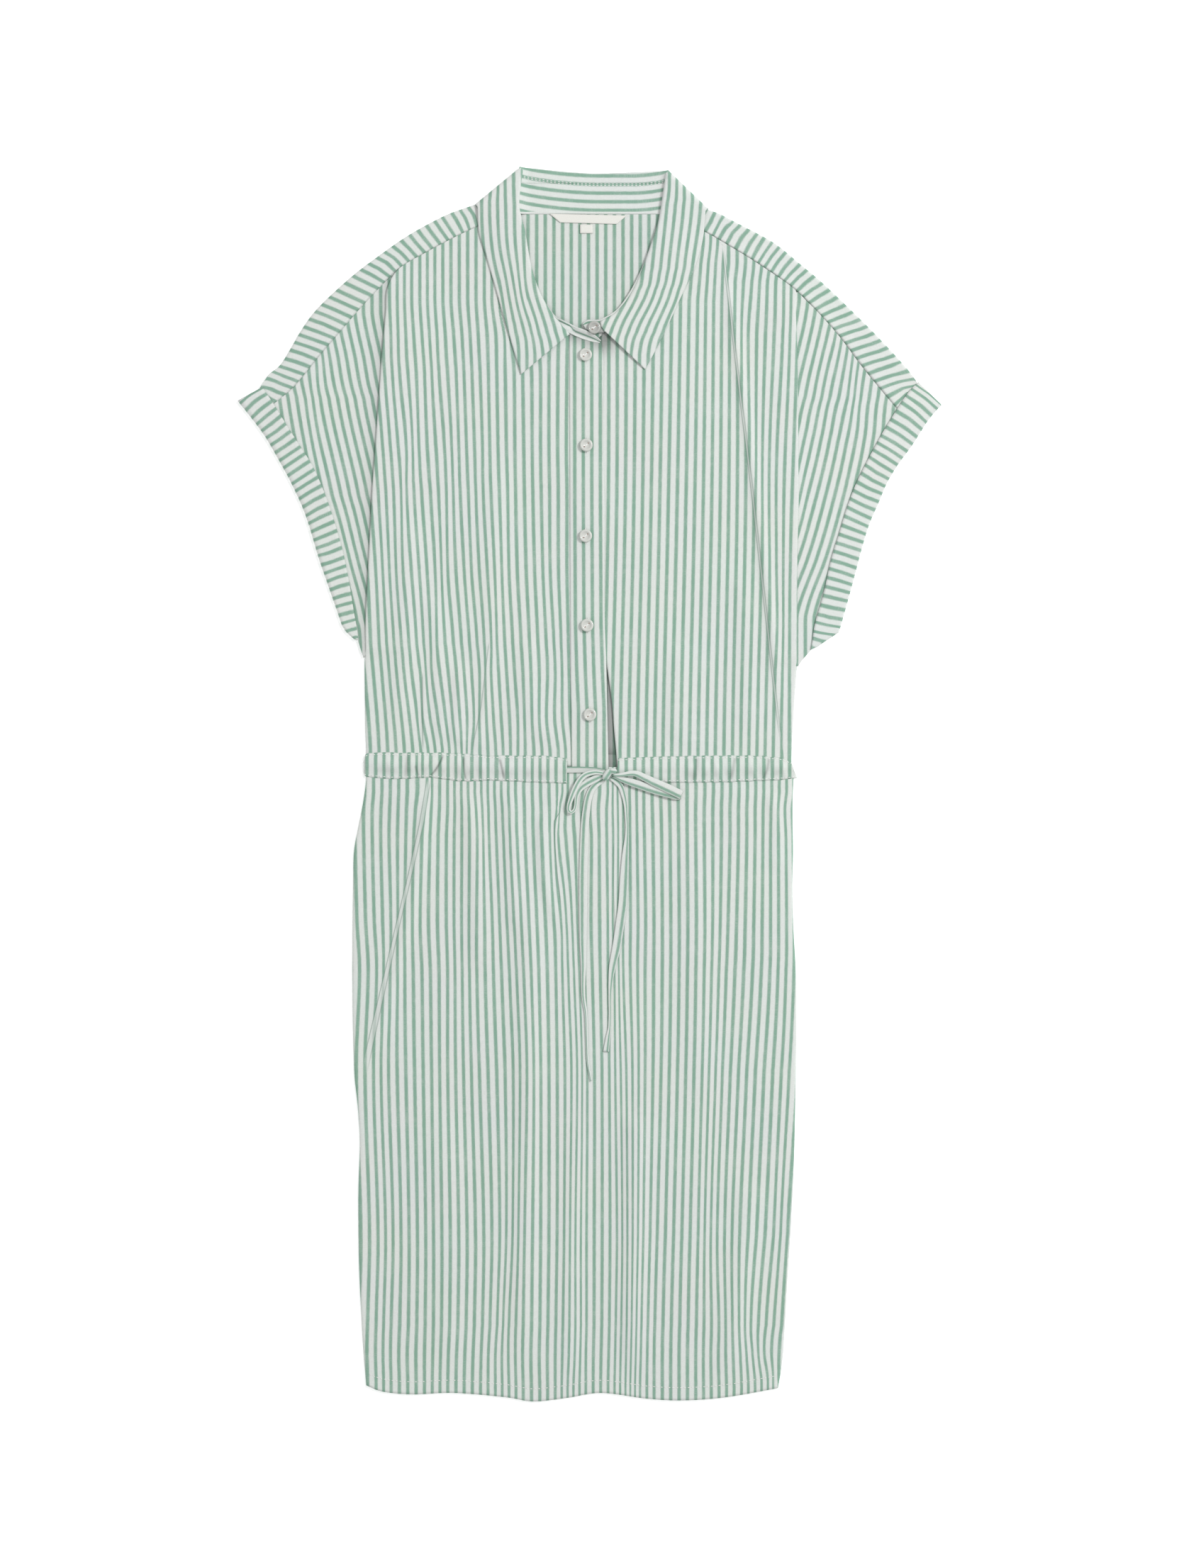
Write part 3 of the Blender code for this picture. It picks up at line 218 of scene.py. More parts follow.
# Ridges that stand up from the front: start, end, sideways bow, half width, height
BODICE_FOLDS = table_of(
    Fold, (103.1, 410.0, 151.5, 30.0, 1.5, 3.6, 1.8), (-100.0, 95.0, -104.0, 30.0, 0.0, 6.0, 2.2),
    (-124.0, 150.0, -118.0, 28.0, 4.0, 8.0, 1.8), (-48.0, 118.0, -34.0, 28.0, -6.0, 8.0, 1.6),
    (-142.0, 210.0, -150.0, 34.0, 4.0, 9.0, 1.8), (70.0, 110.0, 64.0, 30.0, 0.0, 7.0, 1.2),
    (118.0, 170.0, 124.0, 32.0, 0.0, 8.0, 1.4), (-74.0, 260.0, -80.0, 34.0, 2.0, 9.0, 1.3),
)
SKIRT_FOLDS = table_of(
    Fold, (-125.0, -4.0, -171.0, -216.0, 6.0, 4.2, 2.3), (-49.0, -60.0, -54.0, -466.0, 4.0, 10.0, 2.8),
    (36.0, -232.0, 33.0, -466.0, 0.0, 9.0, 2.8), (122.0, -300.0, 104.0, -466.0, 4.0, 10.0, 2.0),
    (-96.0, -2.0, -86.0, -150.0, 3.0, 7.0, 2.0), (-66.0, -2.0, -58.0, -120.0, 2.0, 6.0, 1.8),
    (140.0, -4.0, 144.0, -70.0, 5.0, 6.0, 2.2), (-8.0, -250.0, -14.0, -466.0, -3.0, 8.0, 1.6),
    (78.0, -30.0, 84.0, -260.0, 3.0, 12.0, 1.5), (-120.0, -240.0, -112.0, -460.0, 5.0, 13.0, 1.6),
    (-34.0, -18.0, -24.0, -110.0, -7.0, 4.0, 2.2),
)
GATHER_PITCH = 37.0
GATHER_HEIGHT = 1.1
GATHER_REACH = 34.0

# Collar: the rails run from the front edge up to the shoulder
WING_LEFT = table_of(
    Rails, (-53.1, 317.8, -15.1, 349.1), (-59.5, 339.0, -27.8, 364.5), (-66.8, 362.9, -37.7, 380.5),
    (-72.5, 383.5, -44.8, 401.4), (-80.0, 409.0, -49.8, 428.9), (-85.6, 427.2, -54.2, 449.8),
)
WING_RIGHT = table_of(
    Rails, (43.2, 321.6, 11.0, 352.0), (45.6, 326.0, 7.9, 358.7), (52.0, 338.0, 18.0, 364.6),
    (60.5, 355.0, 30.0, 377.6), (71.5, 379.0, 39.9, 398.1), (81.5, 400.0, 49.8, 425.6),
    (87.9, 422.5, 54.2, 441.5),
)
WING_TOP_LEFT = Rails(-88.8, 449.8, -53.6, 478.9)
WING_TOP_RIGHT = Rails(92.1, 446.5, 61.3, 476.2)
WING_TURN = 2.5
WING_ROLL = 1.7
# Height over the front at shares of the way from the roll to the edge
WING_SECTION = ((0.0, 2 * LAYER), (0.25, 2 * LAYER), (0.5, 2 * LAYER), (0.75, 1.55 * LAYER), (1.0, LAYER))
# Stand: the outer rail is the neck seam under the wing, the inner rail its upper edge
STAND_LEFT = table_of(
    Rails, (7.9, 342.2, 8.7, 343.9), (2.5, 343.0, 3.8, 348.3), (-4.7, 345.0, -3.2, 351.9),
    (-12.0, 348.0, -9.5, 354.2), (-17.3, 350.6, -14.8, 356.8), (-24.0, 353.5, -21.6, 360.2),
    (-34.0, 357.5, -27.5, 364.0), (-46.0, 374.5, -39.5, 381.5), (-55.5, 396.5, -47.5, 402.0),
    (-60.5, 424.5, -52.5, 429.0), (-64.5, 444.0, -57.0, 449.0),
)
STAND_RIGHT = table_of(
    Rails, (-3.0, 353.2, -5.5, 357.0), (2.5, 350.4, -1.5, 360.0), (9.8, 350.4, 6.9, 360.2),
    (19.0, 353.5, 14.5, 363.4), (29.0, 362.0, 22.5, 369.5), (39.5, 376.0, 32.0, 383.0),
    (50.0, 395.5, 41.5, 402.0), (60.0, 421.5, 51.5, 427.0), (65.0, 441.0, 56.5, 447.5),
)
STAND_BACK_LOW = 443.0
STAND_BACK_TOP = 466.0
STAND_BACK_LEFT = -56.5
STAND_BACK_RIGHT = 60.5
COLLAR_TOP = table_of(Edge, (-53.6, 478.9), (-20.0, 475.6), (4.1, 474.0), (30.0, 474.9), (61.3, 476.2))
COLLAR_DROP = table_of(Edge, (-84.0, 444.5), (-50.0, 430.0), (0.0, 424.0), (52.0, 430.0), (87.0, 441.5))
COLLAR_BACK_LEFT = -54.5
COLLAR_BACK_RIGHT = 61.5
COLLAR_BACK_STATIONS = 10

PLACKET = table_of(
    Level, (343.0, -15.7, 8.3), (335.4, -15.7, 10.2), (317.0, -15.6, 10.7), (280.0, -15.5, 9.9),
    (223.0, -15.3, 11.6), (180.0, -15.2, 11.6), (132.0, -15.0, 11.6), (94.0, -14.8, 12.9),
    (63.0, -14.6, 13.5), (36.0, -14.4, 14.1), (14.9, -14.2, 14.6),
)
CHANNEL_LEFT = table_of(
    Rails, (-175.2, 9.0, -175.2, 17.6), (-174.4, 6.8, -174.2, 21.2), (-172.6, 5.6, -172.4, 23.8),
    (-165.0, 4.8, -165.0, 24.2), (-146.6, 3.9, -150.0, 24.1), (-124.0, 5.0, -128.0, 24.1),
    (-99.8, 2.2, -104.0, 23.8), (-73.4, 2.7, -76.0, 21.9), (-50.9, 1.6, -52.0, 21.9),
    (-34.0, 1.0, -34.5, 21.6), (-17.5, 0.4, -17.5, 19.7),
)
CHANNEL_RIGHT = table_of(
    Rails, (20.0, 1.0, 22.6, 19.9), (40.0, 1.0, 40.0, 20.6), (59.7, 1.0, 59.7, 21.3),
    (82.0, 1.2, 82.0, 21.6), (105.9, 1.5, 104.0, 21.9), (125.0, 2.2, 122.0, 21.9),
    (140.0, 2.8, 137.0, 21.3), (152.0, 3.6, 149.0, 19.9), (160.8, 4.8, 156.5, 16.9),
)
CHANNEL_PUCKERS = table_of(
    Fold, (-113.4, 23.0, -124.8, 4.8, 1.2, 0.8, -1.5), (-103.0, 22.5, -99.0, 2.4, 1.5, 2.2, 0.9),
    (-97.6, 22.0, -95.8, 2.4, -1.0, 0.9, -1.4), (-70.1, 20.5, -66.0, 2.4, 0.0, 0.9, -1.2),
    (-119.6, 21.0, -127.0, 6.0, 0.0, 2.4, 0.8), (-135.0, 15.0, -131.0, 4.0, -1.0, 1.0, -0.9),
    (-157.6, 24.0, -154.5, 4.0, 1.0, 2.6, 0.7), (-141.0, 24.0, -143.0, 4.0, 0.0, 1.6, -0.6),
    (-53.0, 21.6, -55.0, 1.8, 0.0, 2.4, 0.5), (-84.0, 22.0, -82.0, 2.4, 0.0, 2.2, 0.5),
    (66.0, 21.6, 69.0, 1.4, 0.0, 2.4, 0.5), (83.0, 21.6, 80.0, 1.4, 1.0, 1.6, -0.6),
    (97.0, 21.8, 101.0, 1.6, 0.0, 2.6, 0.6), (113.0, 21.8, 109.0, 1.8, 0.0, 1.4, -0.7),
    (124.0, 21.6, 130.0, 2.2, 0.0, 2.2, 0.7), (139.0, 21.0, 134.0, 2.6, 1.0, 1.2, -0.8),
    (147.0, 20.0, 153.0, 3.6, 0.0, 1.8, 0.7),
)

# Drawstring routes: heights are the middle of the tie's wall
TIE_FLOOR = FRONT_LEVEL + HALF + SEAM + TIE_WALL / 2
TIE_LOWER = TIE_FLOOR + LAYER
TIE_UPPER = TIE_LOWER + LAYER
STRAP = table_of(
    Bend, (-19.0, 11.0, TIE_FLOOR, 4.7), (-8.0, 11.1, TIE_FLOOR, 4.7), (4.0, 10.8, TIE_FLOOR, 4.2),
    (12.0, 9.8, TIE_FLOOR + 0.6, 3.0),
)
LOOP_LEFT = table_of(
    Bend, (10.8, 8.2, TIE_UPPER, 2.4), (6.1, 9.0, TIE_UPPER, 2.9), (1.9, 8.7, TIE_UPPER, 3.5),
    (-3.6, 6.8, TIE_UPPER, 4.0), (-8.0, 2.2, TIE_UPPER, 4.1), (-11.5, -4.4, TIE_UPPER, 4.1),
    (-14.2, -11.2, TIE_UPPER, 3.6), (-16.0, -16.7, TIE_UPPER - 0.2, 2.8),
    (-16.1, -20.3, TIE_UPPER - 0.6, 2.4), (-14.2, -22.0, TIE_LOWER + 0.8, 2.1),
    (-11.8, -20.2, TIE_LOWER + 0.4, 2.0), (-10.6, -16.1, TIE_LOWER, 2.2), (-10.3, -11.9, TIE_LOWER, 2.5),
    (-9.3, -7.1, TIE_LOWER, 3.8), (-6.5, -2.6, TIE_LOWER, 5.0), (-0.8, 1.3, TIE_LOWER, 5.6),
    (4.7, 4.0, TIE_LOWER, 5.4), (10.0, 6.4, TIE_LOWER, 4.0),
)
LOOP_RIGHT = table_of(
    Bend, (18.6, 7.0, TIE_UPPER, 1.8), (22.0, 7.0, TIE_UPPER, 2.0), (26.7, 7.4, TIE_UPPER, 3.0),
    (32.2, 8.3, TIE_UPPER, 3.8), (36.8, 7.8, TIE_UPPER, 4.6), (43.2, 4.7, TIE_UPPER, 5.4),
    (50.7, 1.1, TIE_UPPER, 6.1), (61.1, -3.6, TIE_UPPER, 6.6), (67.9, -6.9, TIE_UPPER, 6.6),
    (70.4, -8.1, TIE_UPPER - 0.1, 6.5), (71.1, -8.5, TIE_LOWER + 0.75, 6.5),
    (70.2, -8.6, TIE_LOWER + 0.1, 6.5), (67.4, -8.9, TIE_LOWER, 6.4), (61.1, -7.4, TIE_LOWER, 6.4),
    (54.2, -5.6, TIE_LOWER, 6.4), (47.3, -3.6, TIE_LOWER, 6.4), (40.4, -1.3, TIE_LOWER, 6.2),
    (33.6, 0.9, TIE_LOWER, 5.8), (28.1, 2.6, TIE_LOWER, 4.8), (23.4, 4.2, TIE_LOWER, 3.2),
    (18.6, 6.4, TIE_LOWER, 2.2),
)
TAIL_LEFT = table_of(
    Bend, (11.2, 3.4, TIE_FLOOR, 3.4), (5.4, -0.4, TIE_FLOOR, 4.2), (1.6, -4.6, TIE_FLOOR, 5.0),
    (-0.5, -10.0, TIE_FLOOR, 5.4), (-1.8, -16.0, TIE_FLOOR, 5.6), (-3.2, -27.0, TIE_FLOOR, 6.0),
    (-3.8, -38.0, TIE_FLOOR, 6.2), (-4.4, -55.0, TIE_FLOOR, 6.3), (-4.8, -74.0, TIE_FLOOR, 6.3),
    (-4.9, -101.0, TIE_FLOOR, 6.0), (-4.9, -123.0, TIE_FLOOR, 5.3), (-4.6, -141.0, TIE_FLOOR, 3.7),
    (-4.8, -151.0, TIE_FLOOR, 3.0), (-4.6, -165.0, TIE_FLOOR, 2.7), (-2.8, -178.0, TIE_FLOOR, 1.9),
    (-2.1, -197.0, TIE_FLOOR, 1.5), (-1.3, -215.0, TIE_FLOOR, 1.5), (1.2, -230.5, TIE_FLOOR, 0.9),
)
TAIL_RIGHT = table_of(
    Bend, (16.4, 4.6, TIE_FLOOR, 2.6), (21.4, 1.4, TIE_FLOOR, 4.2), (24.6, -2.6, TIE_FLOOR, 4.0),
    (26.7, -9.2, TIE_FLOOR, 3.5), (28.0, -16.0, TIE_FLOOR, 2.7), (28.6, -25.0, TIE_FLOOR, 2.0),
    (29.1, -34.0, TIE_FLOOR, 1.9), (28.9, -42.0, TIE_FLOOR, 3.0), (27.9, -55.0, TIE_FLOOR, 5.0),
    (26.9, -73.0, TIE_FLOOR, 6.4), (25.8, -92.0, TIE_FLOOR, 6.6), (23.5, -110.0, TIE_FLOOR, 6.6),
    (20.9, -127.0, TIE_FLOOR, 6.5), (17.9, -141.0, TIE_FLOOR, 5.2), (16.6, -151.0, TIE_FLOOR, 3.6),
    (15.8, -164.0, TIE_FLOOR, 2.0), (15.8, -178.0, TIE_FLOOR, 1.6), (15.4, -189.0, TIE_FLOOR, 1.7),
    (14.3, -196.5, TIE_FLOOR, 3.0), (12.9, -207.5, TIE_FLOOR, 4.4),
)
# The knot's two lobes: middle, half sizes and turn
KNOT = (Lobe(13.6, 7.2, 7.5, 5.0, 2.7, 2.5, 57.0), Lobe(18.2, 10.0, 7.2, 3.2, 2.3, 2.2, -6.0))

BUTTON_PLACES = table_of(Edge, (-3.0, 332.9), (-2.5, 262.8), (-3.0, 192.4), (-1.9, 123.1), (0.3, 53.8))
STAND_BUTTON = Edge(3.7, 353.9)
BUTTON_TOP_LEVEL = FRONT_LEVEL + LAYER + HALF + SEAM

LABEL = table_of(Edge, (-31.1, 442.4), (28.9, 441.0), (21.2, 434.4), (-22.8, 435.6))
TAB = table_of(Edge, (-7.4, 434.1), (2.5, 434.0), (2.6, 427.2), (-7.3, 427.2))
# Painted shadow in the throat, under the stand's end and the right wing
THROAT_SHADE = Shade(12.0, 346.0, 9.0, 11.0, 0.62)

# Lift over the back of the collar, which lies under the neck
LIFT = LAYER
LIFT_LOW = 345.0
LIFT_FULL = 416.0

# Stripes: the first row numbers some stripes; each further row is a level and those stripes' middles there
NECK_STRIPE = -41.0
PLACKET_STRIPES = table_of(
    Edge, (-11.5, 308.0), (-11.4, 223.0), (-11.1, 168.0), (-10.9, 124.0), (-9.8, 86.0), (-8.5, 58.0),
    (-8.5, 31.0),
)
CHANNEL_LEFT_STRIPES = (
    -172.5, -165.8, -159.3, -153.1, -146.6, -140.0, -133.8, -129.7, -123.2, -115.8, -109.7, -103.5, -98.6,
    -91.2, -84.5, -78.8, -72.4, -63.6, -56.9, -50.4, -44.4, -38.3, -32.3, -26.0, -19.5,
)
CHANNEL_RIGHT_STRIPES = tuple(21.8 + 6.67 * number for number in range(22))
SKIRT_STRIPES = (
    (2, 4, 6, 8, 9, 11, 15, 17, 19, 21, 23, 25, 26, 27, 28, 30, 33, 34, 36, 39, 41, 46, 49, 52, 54, 56,
     58),
    (-6, -167.5, -154.5, -141.5, -125.5, -122.5, -110.0, -89.0, -79.0, -68.5, -57.5, -44.5, -31.5, -25.0,
     -21.0, -17.0, -5.5, 14.5, 18.0, 25.5, 42.0, 55.0, 89.5, 109.5, 129.0, 141.5, 153.0, 163.0),
    (-19, -168.5, -155.0, -142.0, -128.0, -123.0, -110.0, -88.0, -78.5, -67.5, -57.0, -44.0, -31.0, -25.0,
     -23.5, -18.5, -6.5, 13.5, 18.0, 26.0, 42.0, 55.5, 89.0, 109.0, 128.5, 141.0, 151.5, 162.5),
    (-41, -168.5, -155.5, -142.5, -130.0, -124.0, -111.0, -87.0, -78.0, -66.5, -56.5, -43.5, -30.5, -27.0,
     -24.5, -18.5, -4.5, 13.5, 18.5, 26.0, 42.5, 56.0, 89.0, 109.0, 128.5, 140.5, 152.5, 162.5),
    (-107, -167.0, -154.0, -143.5, -131.5, -125.0, -111.0, -87.5, -75.5, -64.0, -53.0, -41.0, -27.5,
     -22.0, -18.0, -13.5, -5.5, 14.5, 18.0, 26.0, 43.5, 56.5, 89.5, 107.5, 127.5, 140.5, 153.0, 163.5),
    (-145, -165.0, -154.5, -143.5, -130.0, -123.5, -110.0, -87.5, -74.5, -62.0, -51.0, -39.5, -26.0,
     -21.0, -16.5, -12.0, -4.0, 14.5, 19.5, 26.0, 43.0, 56.5, 89.0, 106.0, 126.5, 140.0, 152.5, 164.5),
    (-222, -167.5, -156.0, -142.5, -129.0, -122.5, -110.0, -85.5, -72.0, -59.0, -48.5, -38.0, -25.0,
     -19.0, -14.0, -9.5, -2.0, 15.5, 20.0, 28.5, 43.0, 55.5, 87.5, 103.0, 122.0, 135.5, 149.0, 161.0),
    (-349, -164.0, -152.5, -140.0, -127.0, -121.0, -108.0, -82.0, -69.5, -59.5, -50.5, -38.0, -25.0,
     -19.5, -15.0, -11.0, -2.5, 16.0, 21.5, 29.5, 41.5, 52.5, 84.5, 99.0, 116.5, 129.5, 143.0, 153.5),
    (-420, -165.5, -154.0, -140.5, -127.5, -121.0, -108.5, -83.0, -71.5, -62.5, -51.5, -38.5, -26.0,
     -20.5, -15.5, -11.0, -2.5, 15.5, 20.5, 29.0, 40.0, 50.5, 83.0, 100.5, 116.0, 125.0, 137.0, 149.0),
    (-442, -166.0, -154.5, -141.5, -128.0, -121.5, -109.5, -84.0, -73.0, -63.0, -52.0, -39.0, -26.5,
     -21.0, -16.0, -11.5, -3.0, 15.0, 20.0, 28.5, 39.5, 50.0, 82.5, 100.0, 117.0, 126.5, 135.5, 147.0),
    (-464, -165.5, -154.0, -141.0, -128.0, -122.0, -110.0, -84.5, -73.0, -62.5, -51.5, -38.5, -26.5,
     -21.5, -17.0, -12.5, -3.0, 14.5, 19.5, 28.0, 39.0, 50.0, 82.5, 100.5, 118.0, 128.5, 138.5, 146.5),
)
LEFT_STRIPES = (
    (0, 4, 5, 7, 8, 10, 12, 13, 15, 16, 18, 19, 20, 22, 23, 25),
    (375, -180.0, -155.0, -149.0, -138.0, -131.5, -120.0, -107.5, -101.0, -88.0, -81.5, -70.0, -67.5,
     -56.0, -46.0, -31.0, -16.5),
    (350, -178.5, -154.0, -148.5, -136.5, -130.0, -118.5, -105.5, -99.0, -86.5, -79.5, -66.0, -62.0,
     -53.0, -41.5, -31.0, -17.0),
    (322, -177.0, -153.0, -147.5, -134.5, -128.0, -117.0, -103.5, -97.5, -85.0, -78.5, -65.5, -58.5,
     -52.0, -38.0, -31.5, -17.5),
    (262, -172.5, -148.5, -142.0, -132.5, -126.0, -112.5, -101.5, -95.5, -83.0, -77.5, -64.5, -58.0,
     -51.0, -38.0, -31.5, -18.0),
    (229, -170.0, -146.0, -142.0, -130.5, -123.5, -111.0, -100.5, -94.0, -82.5, -76.5, -63.5, -57.5,
     -50.5, -37.5, -31.0, -17.5),
    (163, -165.5, -144.5, -138.0, -126.0, -119.5, -110.0, -97.0, -91.5, -79.0, -73.5, -62.5, -56.0, -49.0,
     -36.0, -30.5, -17.5),
    (108, -163.0, -140.0, -134.0, -123.0, -118.5, -105.5, -93.0, -87.0, -76.0, -72.0, -59.5, -53.0, -46.5,
     -33.5, -27.5, -16.5),
    (86, -161.0, -138.0, -131.0, -122.5, -116.0, -103.0, -91.5, -85.0, -76.5, -70.5, -58.0, -51.5, -45.5,
     -32.5, -26.5, -16.0),
    (50, -158.0, -133.5, -129.5, -117.5, -111.5, -100.5, -89.5, -85.5, -74.5, -68.5, -55.5, -50.5, -44.5,
     -33.5, -27.0, -15.0),
    (24, -156.5, -130.5, -125.0, -114.0, -108.5, -99.0, -91.5, -85.0, -72.5, -67.0, -55.5, -50.0, -43.0,
     -30.5, -24.0, -13.0),
)
RIGHT_STRIPES = (
    (0, 1, 7, 10, 15, 20),
    (421, 15.0, 21.5, 67.5, 88.5, 116.0, 149.0),
    (404, 15.0, 21.5, 66.5, 86.5, 115.0, 148.0),
    (375, 15.0, 21.5, 64.0, 84.0, 115.0, 148.0),
    (212, 14.5, 21.0, 61.0, 81.5, 114.5, 147.5),
    (25, 11.5, 17.0, 57.0, 77.5, 111.0, 142.5),
)
RIGHT_BEYOND = (
    (15, 17, 19, 21, 23),
    (404, 114.5, 127.5, 140.0, 153.0, 165.0),
    (390, 113.0, 126.0, 138.0, 151.0, 162.5),
    (350, 112.5, 123.0, 136.5, 150.0, 161.0),
    (251, 112.0, 124.0, 134.0, 145.0, 158.0),
    (168, 110.0, 122.0, 134.0, 145.0, 155.5),
    (124, 109.5, 121.5, 133.5, 145.5, 155.0),
    (86, 105.5, 118.5, 131.5, 144.0, 155.0),
    (25, 103.5, 116.5, 129.5, 142.0, 155.0),
)
LEFT_SLEEVE_STRIPES = (
    (0, 2, 4, 6),
    (366, -231.0, -218.5, -209.0, -195.5),
    (333, -226.5, -212.5, -202.0, -189.0),
    (300, -220.5, -209.0, -195.5, -182.0),
    (223, -206.5, -192.5, -179.0, -165.5),
    (179, -193.5, -181.0, -168.5, -156.0),
    (127, -180.5, -168.0, -155.0, -143.0),
    (106, -177.5, -166.5, -154.0, -142.0),
)
RIGHT_SLEEVE_STRIPES = (
    (0, 2, 4, 6),
    (375, 189.5, 199.0, 209.5, 222.5),
    (300, 174.0, 186.5, 200.5, 210.5),
    (267, 166.5, 179.5, 193.0, 206.5),
    (223, 157.5, 169.0, 183.0, 197.0),
    (179, 145.5, 156.5, 170.5, 184.5),
    (129, 130.5, 140.0, 153.5, 167.5),
)
LEFT_WING_STRIPES = (
    (0, 1, 3, 5),
    (464, -82.0, -76.0, -65.5, -52.0),
    (449, -83.5, -77.5, -65.0, -51.5),
    (416, -82.0, -75.5, -63.5, -51.0),
    (383, -76.0, -68.5, -58.0, -49.0),
    (350, -70.0, -63.5, -50.5, -39.5),
    (333, -68.0, -61.0, -48.5, -36.0),
)
RIGHT_WING_STRIPES = (
    (0, 1, 5),
    (464, 55.5, 62.0, 84.5),
    (449, 53.5, 60.0, 86.0),
    (399, 48.5, 55.0, 79.5),
    (383, 45.0, 51.0, 75.0),
    (350, 30.0, 36.5, 63.5),
    (333, 27.5, 32.0, 59.0),
)
YOKE_LEFT_STRIPES = (
    (-1.8, -1.7, -1.9), (0.5, 0.6, 0.5), (2.9, 2.9, 2.9), (7.1, 7.0, 6.9), (10.9, 10.9, 10.6),
    (13.8, 13.8, 13.8), (17.1, 17.1, 17.1), (19.5, 19.6, 19.6), (21.8, 21.8, 21.8), (23.9, 23.9, 23.8),
    (26.0, 26.1, 26.2), (27.7, 27.9, 28.2), (29.7, 30.2, 30.5),
)
YOKE_RIGHT_STRIPES = (
    (-1.7, -1.6, -1.6), (0.4, 0.4, 0.5), (2.0, 2.3, 2.4), (5.9, 5.8, 5.6), (7.9, 7.9, 7.8),
    (10.8, 10.6, 10.2), (13.8, 13.6, 13.2), (18.0, 17.6, 17.0), (21.4, 21.0, 20.5), (25.1, 24.7, 24.2),
    (27.2, 27.4, 27.4), (28.8, 29.7, 29.7),
)
CUFF_LEFT_STRIPES = (
    (-0.4, -0.2, -0.2), (2.1, 2.2, 2.2), (4.8, 4.8, 4.9), (7.7, 7.7, 7.7), (10.9, 10.9, 10.9),
    (15.0, 15.1, 15.1), (20.1, 20.0, 20.0), (23.3, 23.3, 23.2), (26.5, 26.5, 26.5), (28.4, 28.4, 28.4),
    (29.3, 29.3, 29.3), (30.1, 30.1, 30.0), (30.4, 30.4, 30.4),
)
CUFF_RIGHT_STRIPES = (
    (-1.1, -1.2, -1.6), (1.4, 1.3, 1.0), (5.1, 5.1, 5.0), (7.8, 7.7, 7.5), (10.3, 10.0, 9.8),
    (12.8, 12.6, 12.5), (15.4, 15.3, 15.2), (18.3, 18.2, 18.1), (21.6, 21.4, 21.1), (24.9, 24.8, 24.7),
    (28.3, 28.2, 28.2), (29.0, 29.3, 29.7), (30.1, 30.3, 30.6), (30.9, 31.1, 31.1),
)

# Soft creases that are only seen: start, end, sideways bow, half width, height
BODICE_CREASES = table_of(
    Fold, (-112.0, 60.0, -122.0, 24.0, 2.0, 2.6, 0.8), (-128.0, 86.0, -127.6, 25.0, 0.0, 2.4, 0.9),
    (104.6, 412.0, 152.8, 26.0, 3.0, 2.6, 0.8), (-77.0, 86.0, -89.6, 25.0, 1.0, 2.6, 0.9),
    (-99.3, 36.0, -96.8, 23.0, 0.0, 2.2, 0.9),
)
SKIRT_CREASES = table_of(
    Fold, (-60.0, -4.0, -58.0, -60.0, 1.0, 2.6, 1.0), (-124.4, 2.0, -175.4, -228.0, 2.0, 2.2, 0.7),
    (-24.0, -24.0, -22.0, -100.0, 0.0, 3.0, 0.9),
)
# Sharp creases, left to right, as points from top to bottom; a pair bounds a narrow plain fold of cloth
LEFT_LINES = (
    table_of(Edge, (-129.6, 86.0), (-129.2, 25.0)),
    table_of(Edge, (-78.0, 110.0), (-84.0, 60.0), (-91.5, 25.0)),
)
RIGHT_LINES = (
    table_of(Edge, (102.4, 418.0), (114.0, 321.0), (125.0, 232.5), (145.9, 47.2), (150.8, 18.0)),
    table_of(Edge, (103.9, 418.0), (115.5, 321.0), (126.5, 232.5), (147.4, 47.2), (152.3, 18.0)),
)
SKIRT_LINES = (
    table_of(Edge, (-125.9, 6.0), (-131.6, -30.4), (-139.3, -65.0), (-150.8, -112.3), (-177.0, -222.0)),
    table_of(Edge, (-122.9, 6.0), (-128.6, -30.4), (-136.3, -65.0), (-147.8, -112.3), (-174.0, -230.0)),
    table_of(Edge, (-22.4, -20.6), (-27.4, -28.9), (-27.0, -46.3), (-25.1, -70.0), (-22.0, -96.0)),
    table_of(Edge, (18.4, -46.0), (18.3, -64.5), (18.6, -82.9), (19.4, -101.3), (19.4, -118.0)),
)
# Strength of each sharp crease's painted shade, and of its plain fold
LINE_DEPTHS = (0.65, 0.55, 0.9, 0.5)


def ease(value):
    """Smooth step from 0 to 1."""
    value = np.clip(value, 0.0, 1.0)
    return value * value * (3 - 2 * value)


def mix(first, second, share):
    return first + (second - first) * share


def bell(value, middle, width):
    """Hump that is 1 at its middle and fades over its width."""
    return np.exp(-((value - middle) / width) ** 2)


def spline(before, start, end, after, share):
    """Smooth curve from start to end, led by the points before and after them."""
    return 0.5 * (2 * start + (end - before) * share
                  + (2 * before - 5 * start + 4 * end - after) * share ** 2
                  + (3 * start - before - 3 * end + after) * share ** 3)


def column(table, field):
    return np.array([getattr(row, field) for row in table], float)


def along(table, value, key, field):
    """Value of a table's column at places between its rows, which run either way."""
    keys = column(table, key)
    order = np.argsort(keys)
    return np.interp(value, keys[order], column(table, field)[order])


def lift(y):
    """Height that the collar's back drop adds under the neck."""
    return LIFT * ease((np.asarray(y, float) - LIFT_LOW) / (LIFT_FULL - LIFT_LOW))


def front_height(y):
    """Height of the middle of the fronts' wall at a level."""
    return FRONT_LEVEL + float(lift(y))


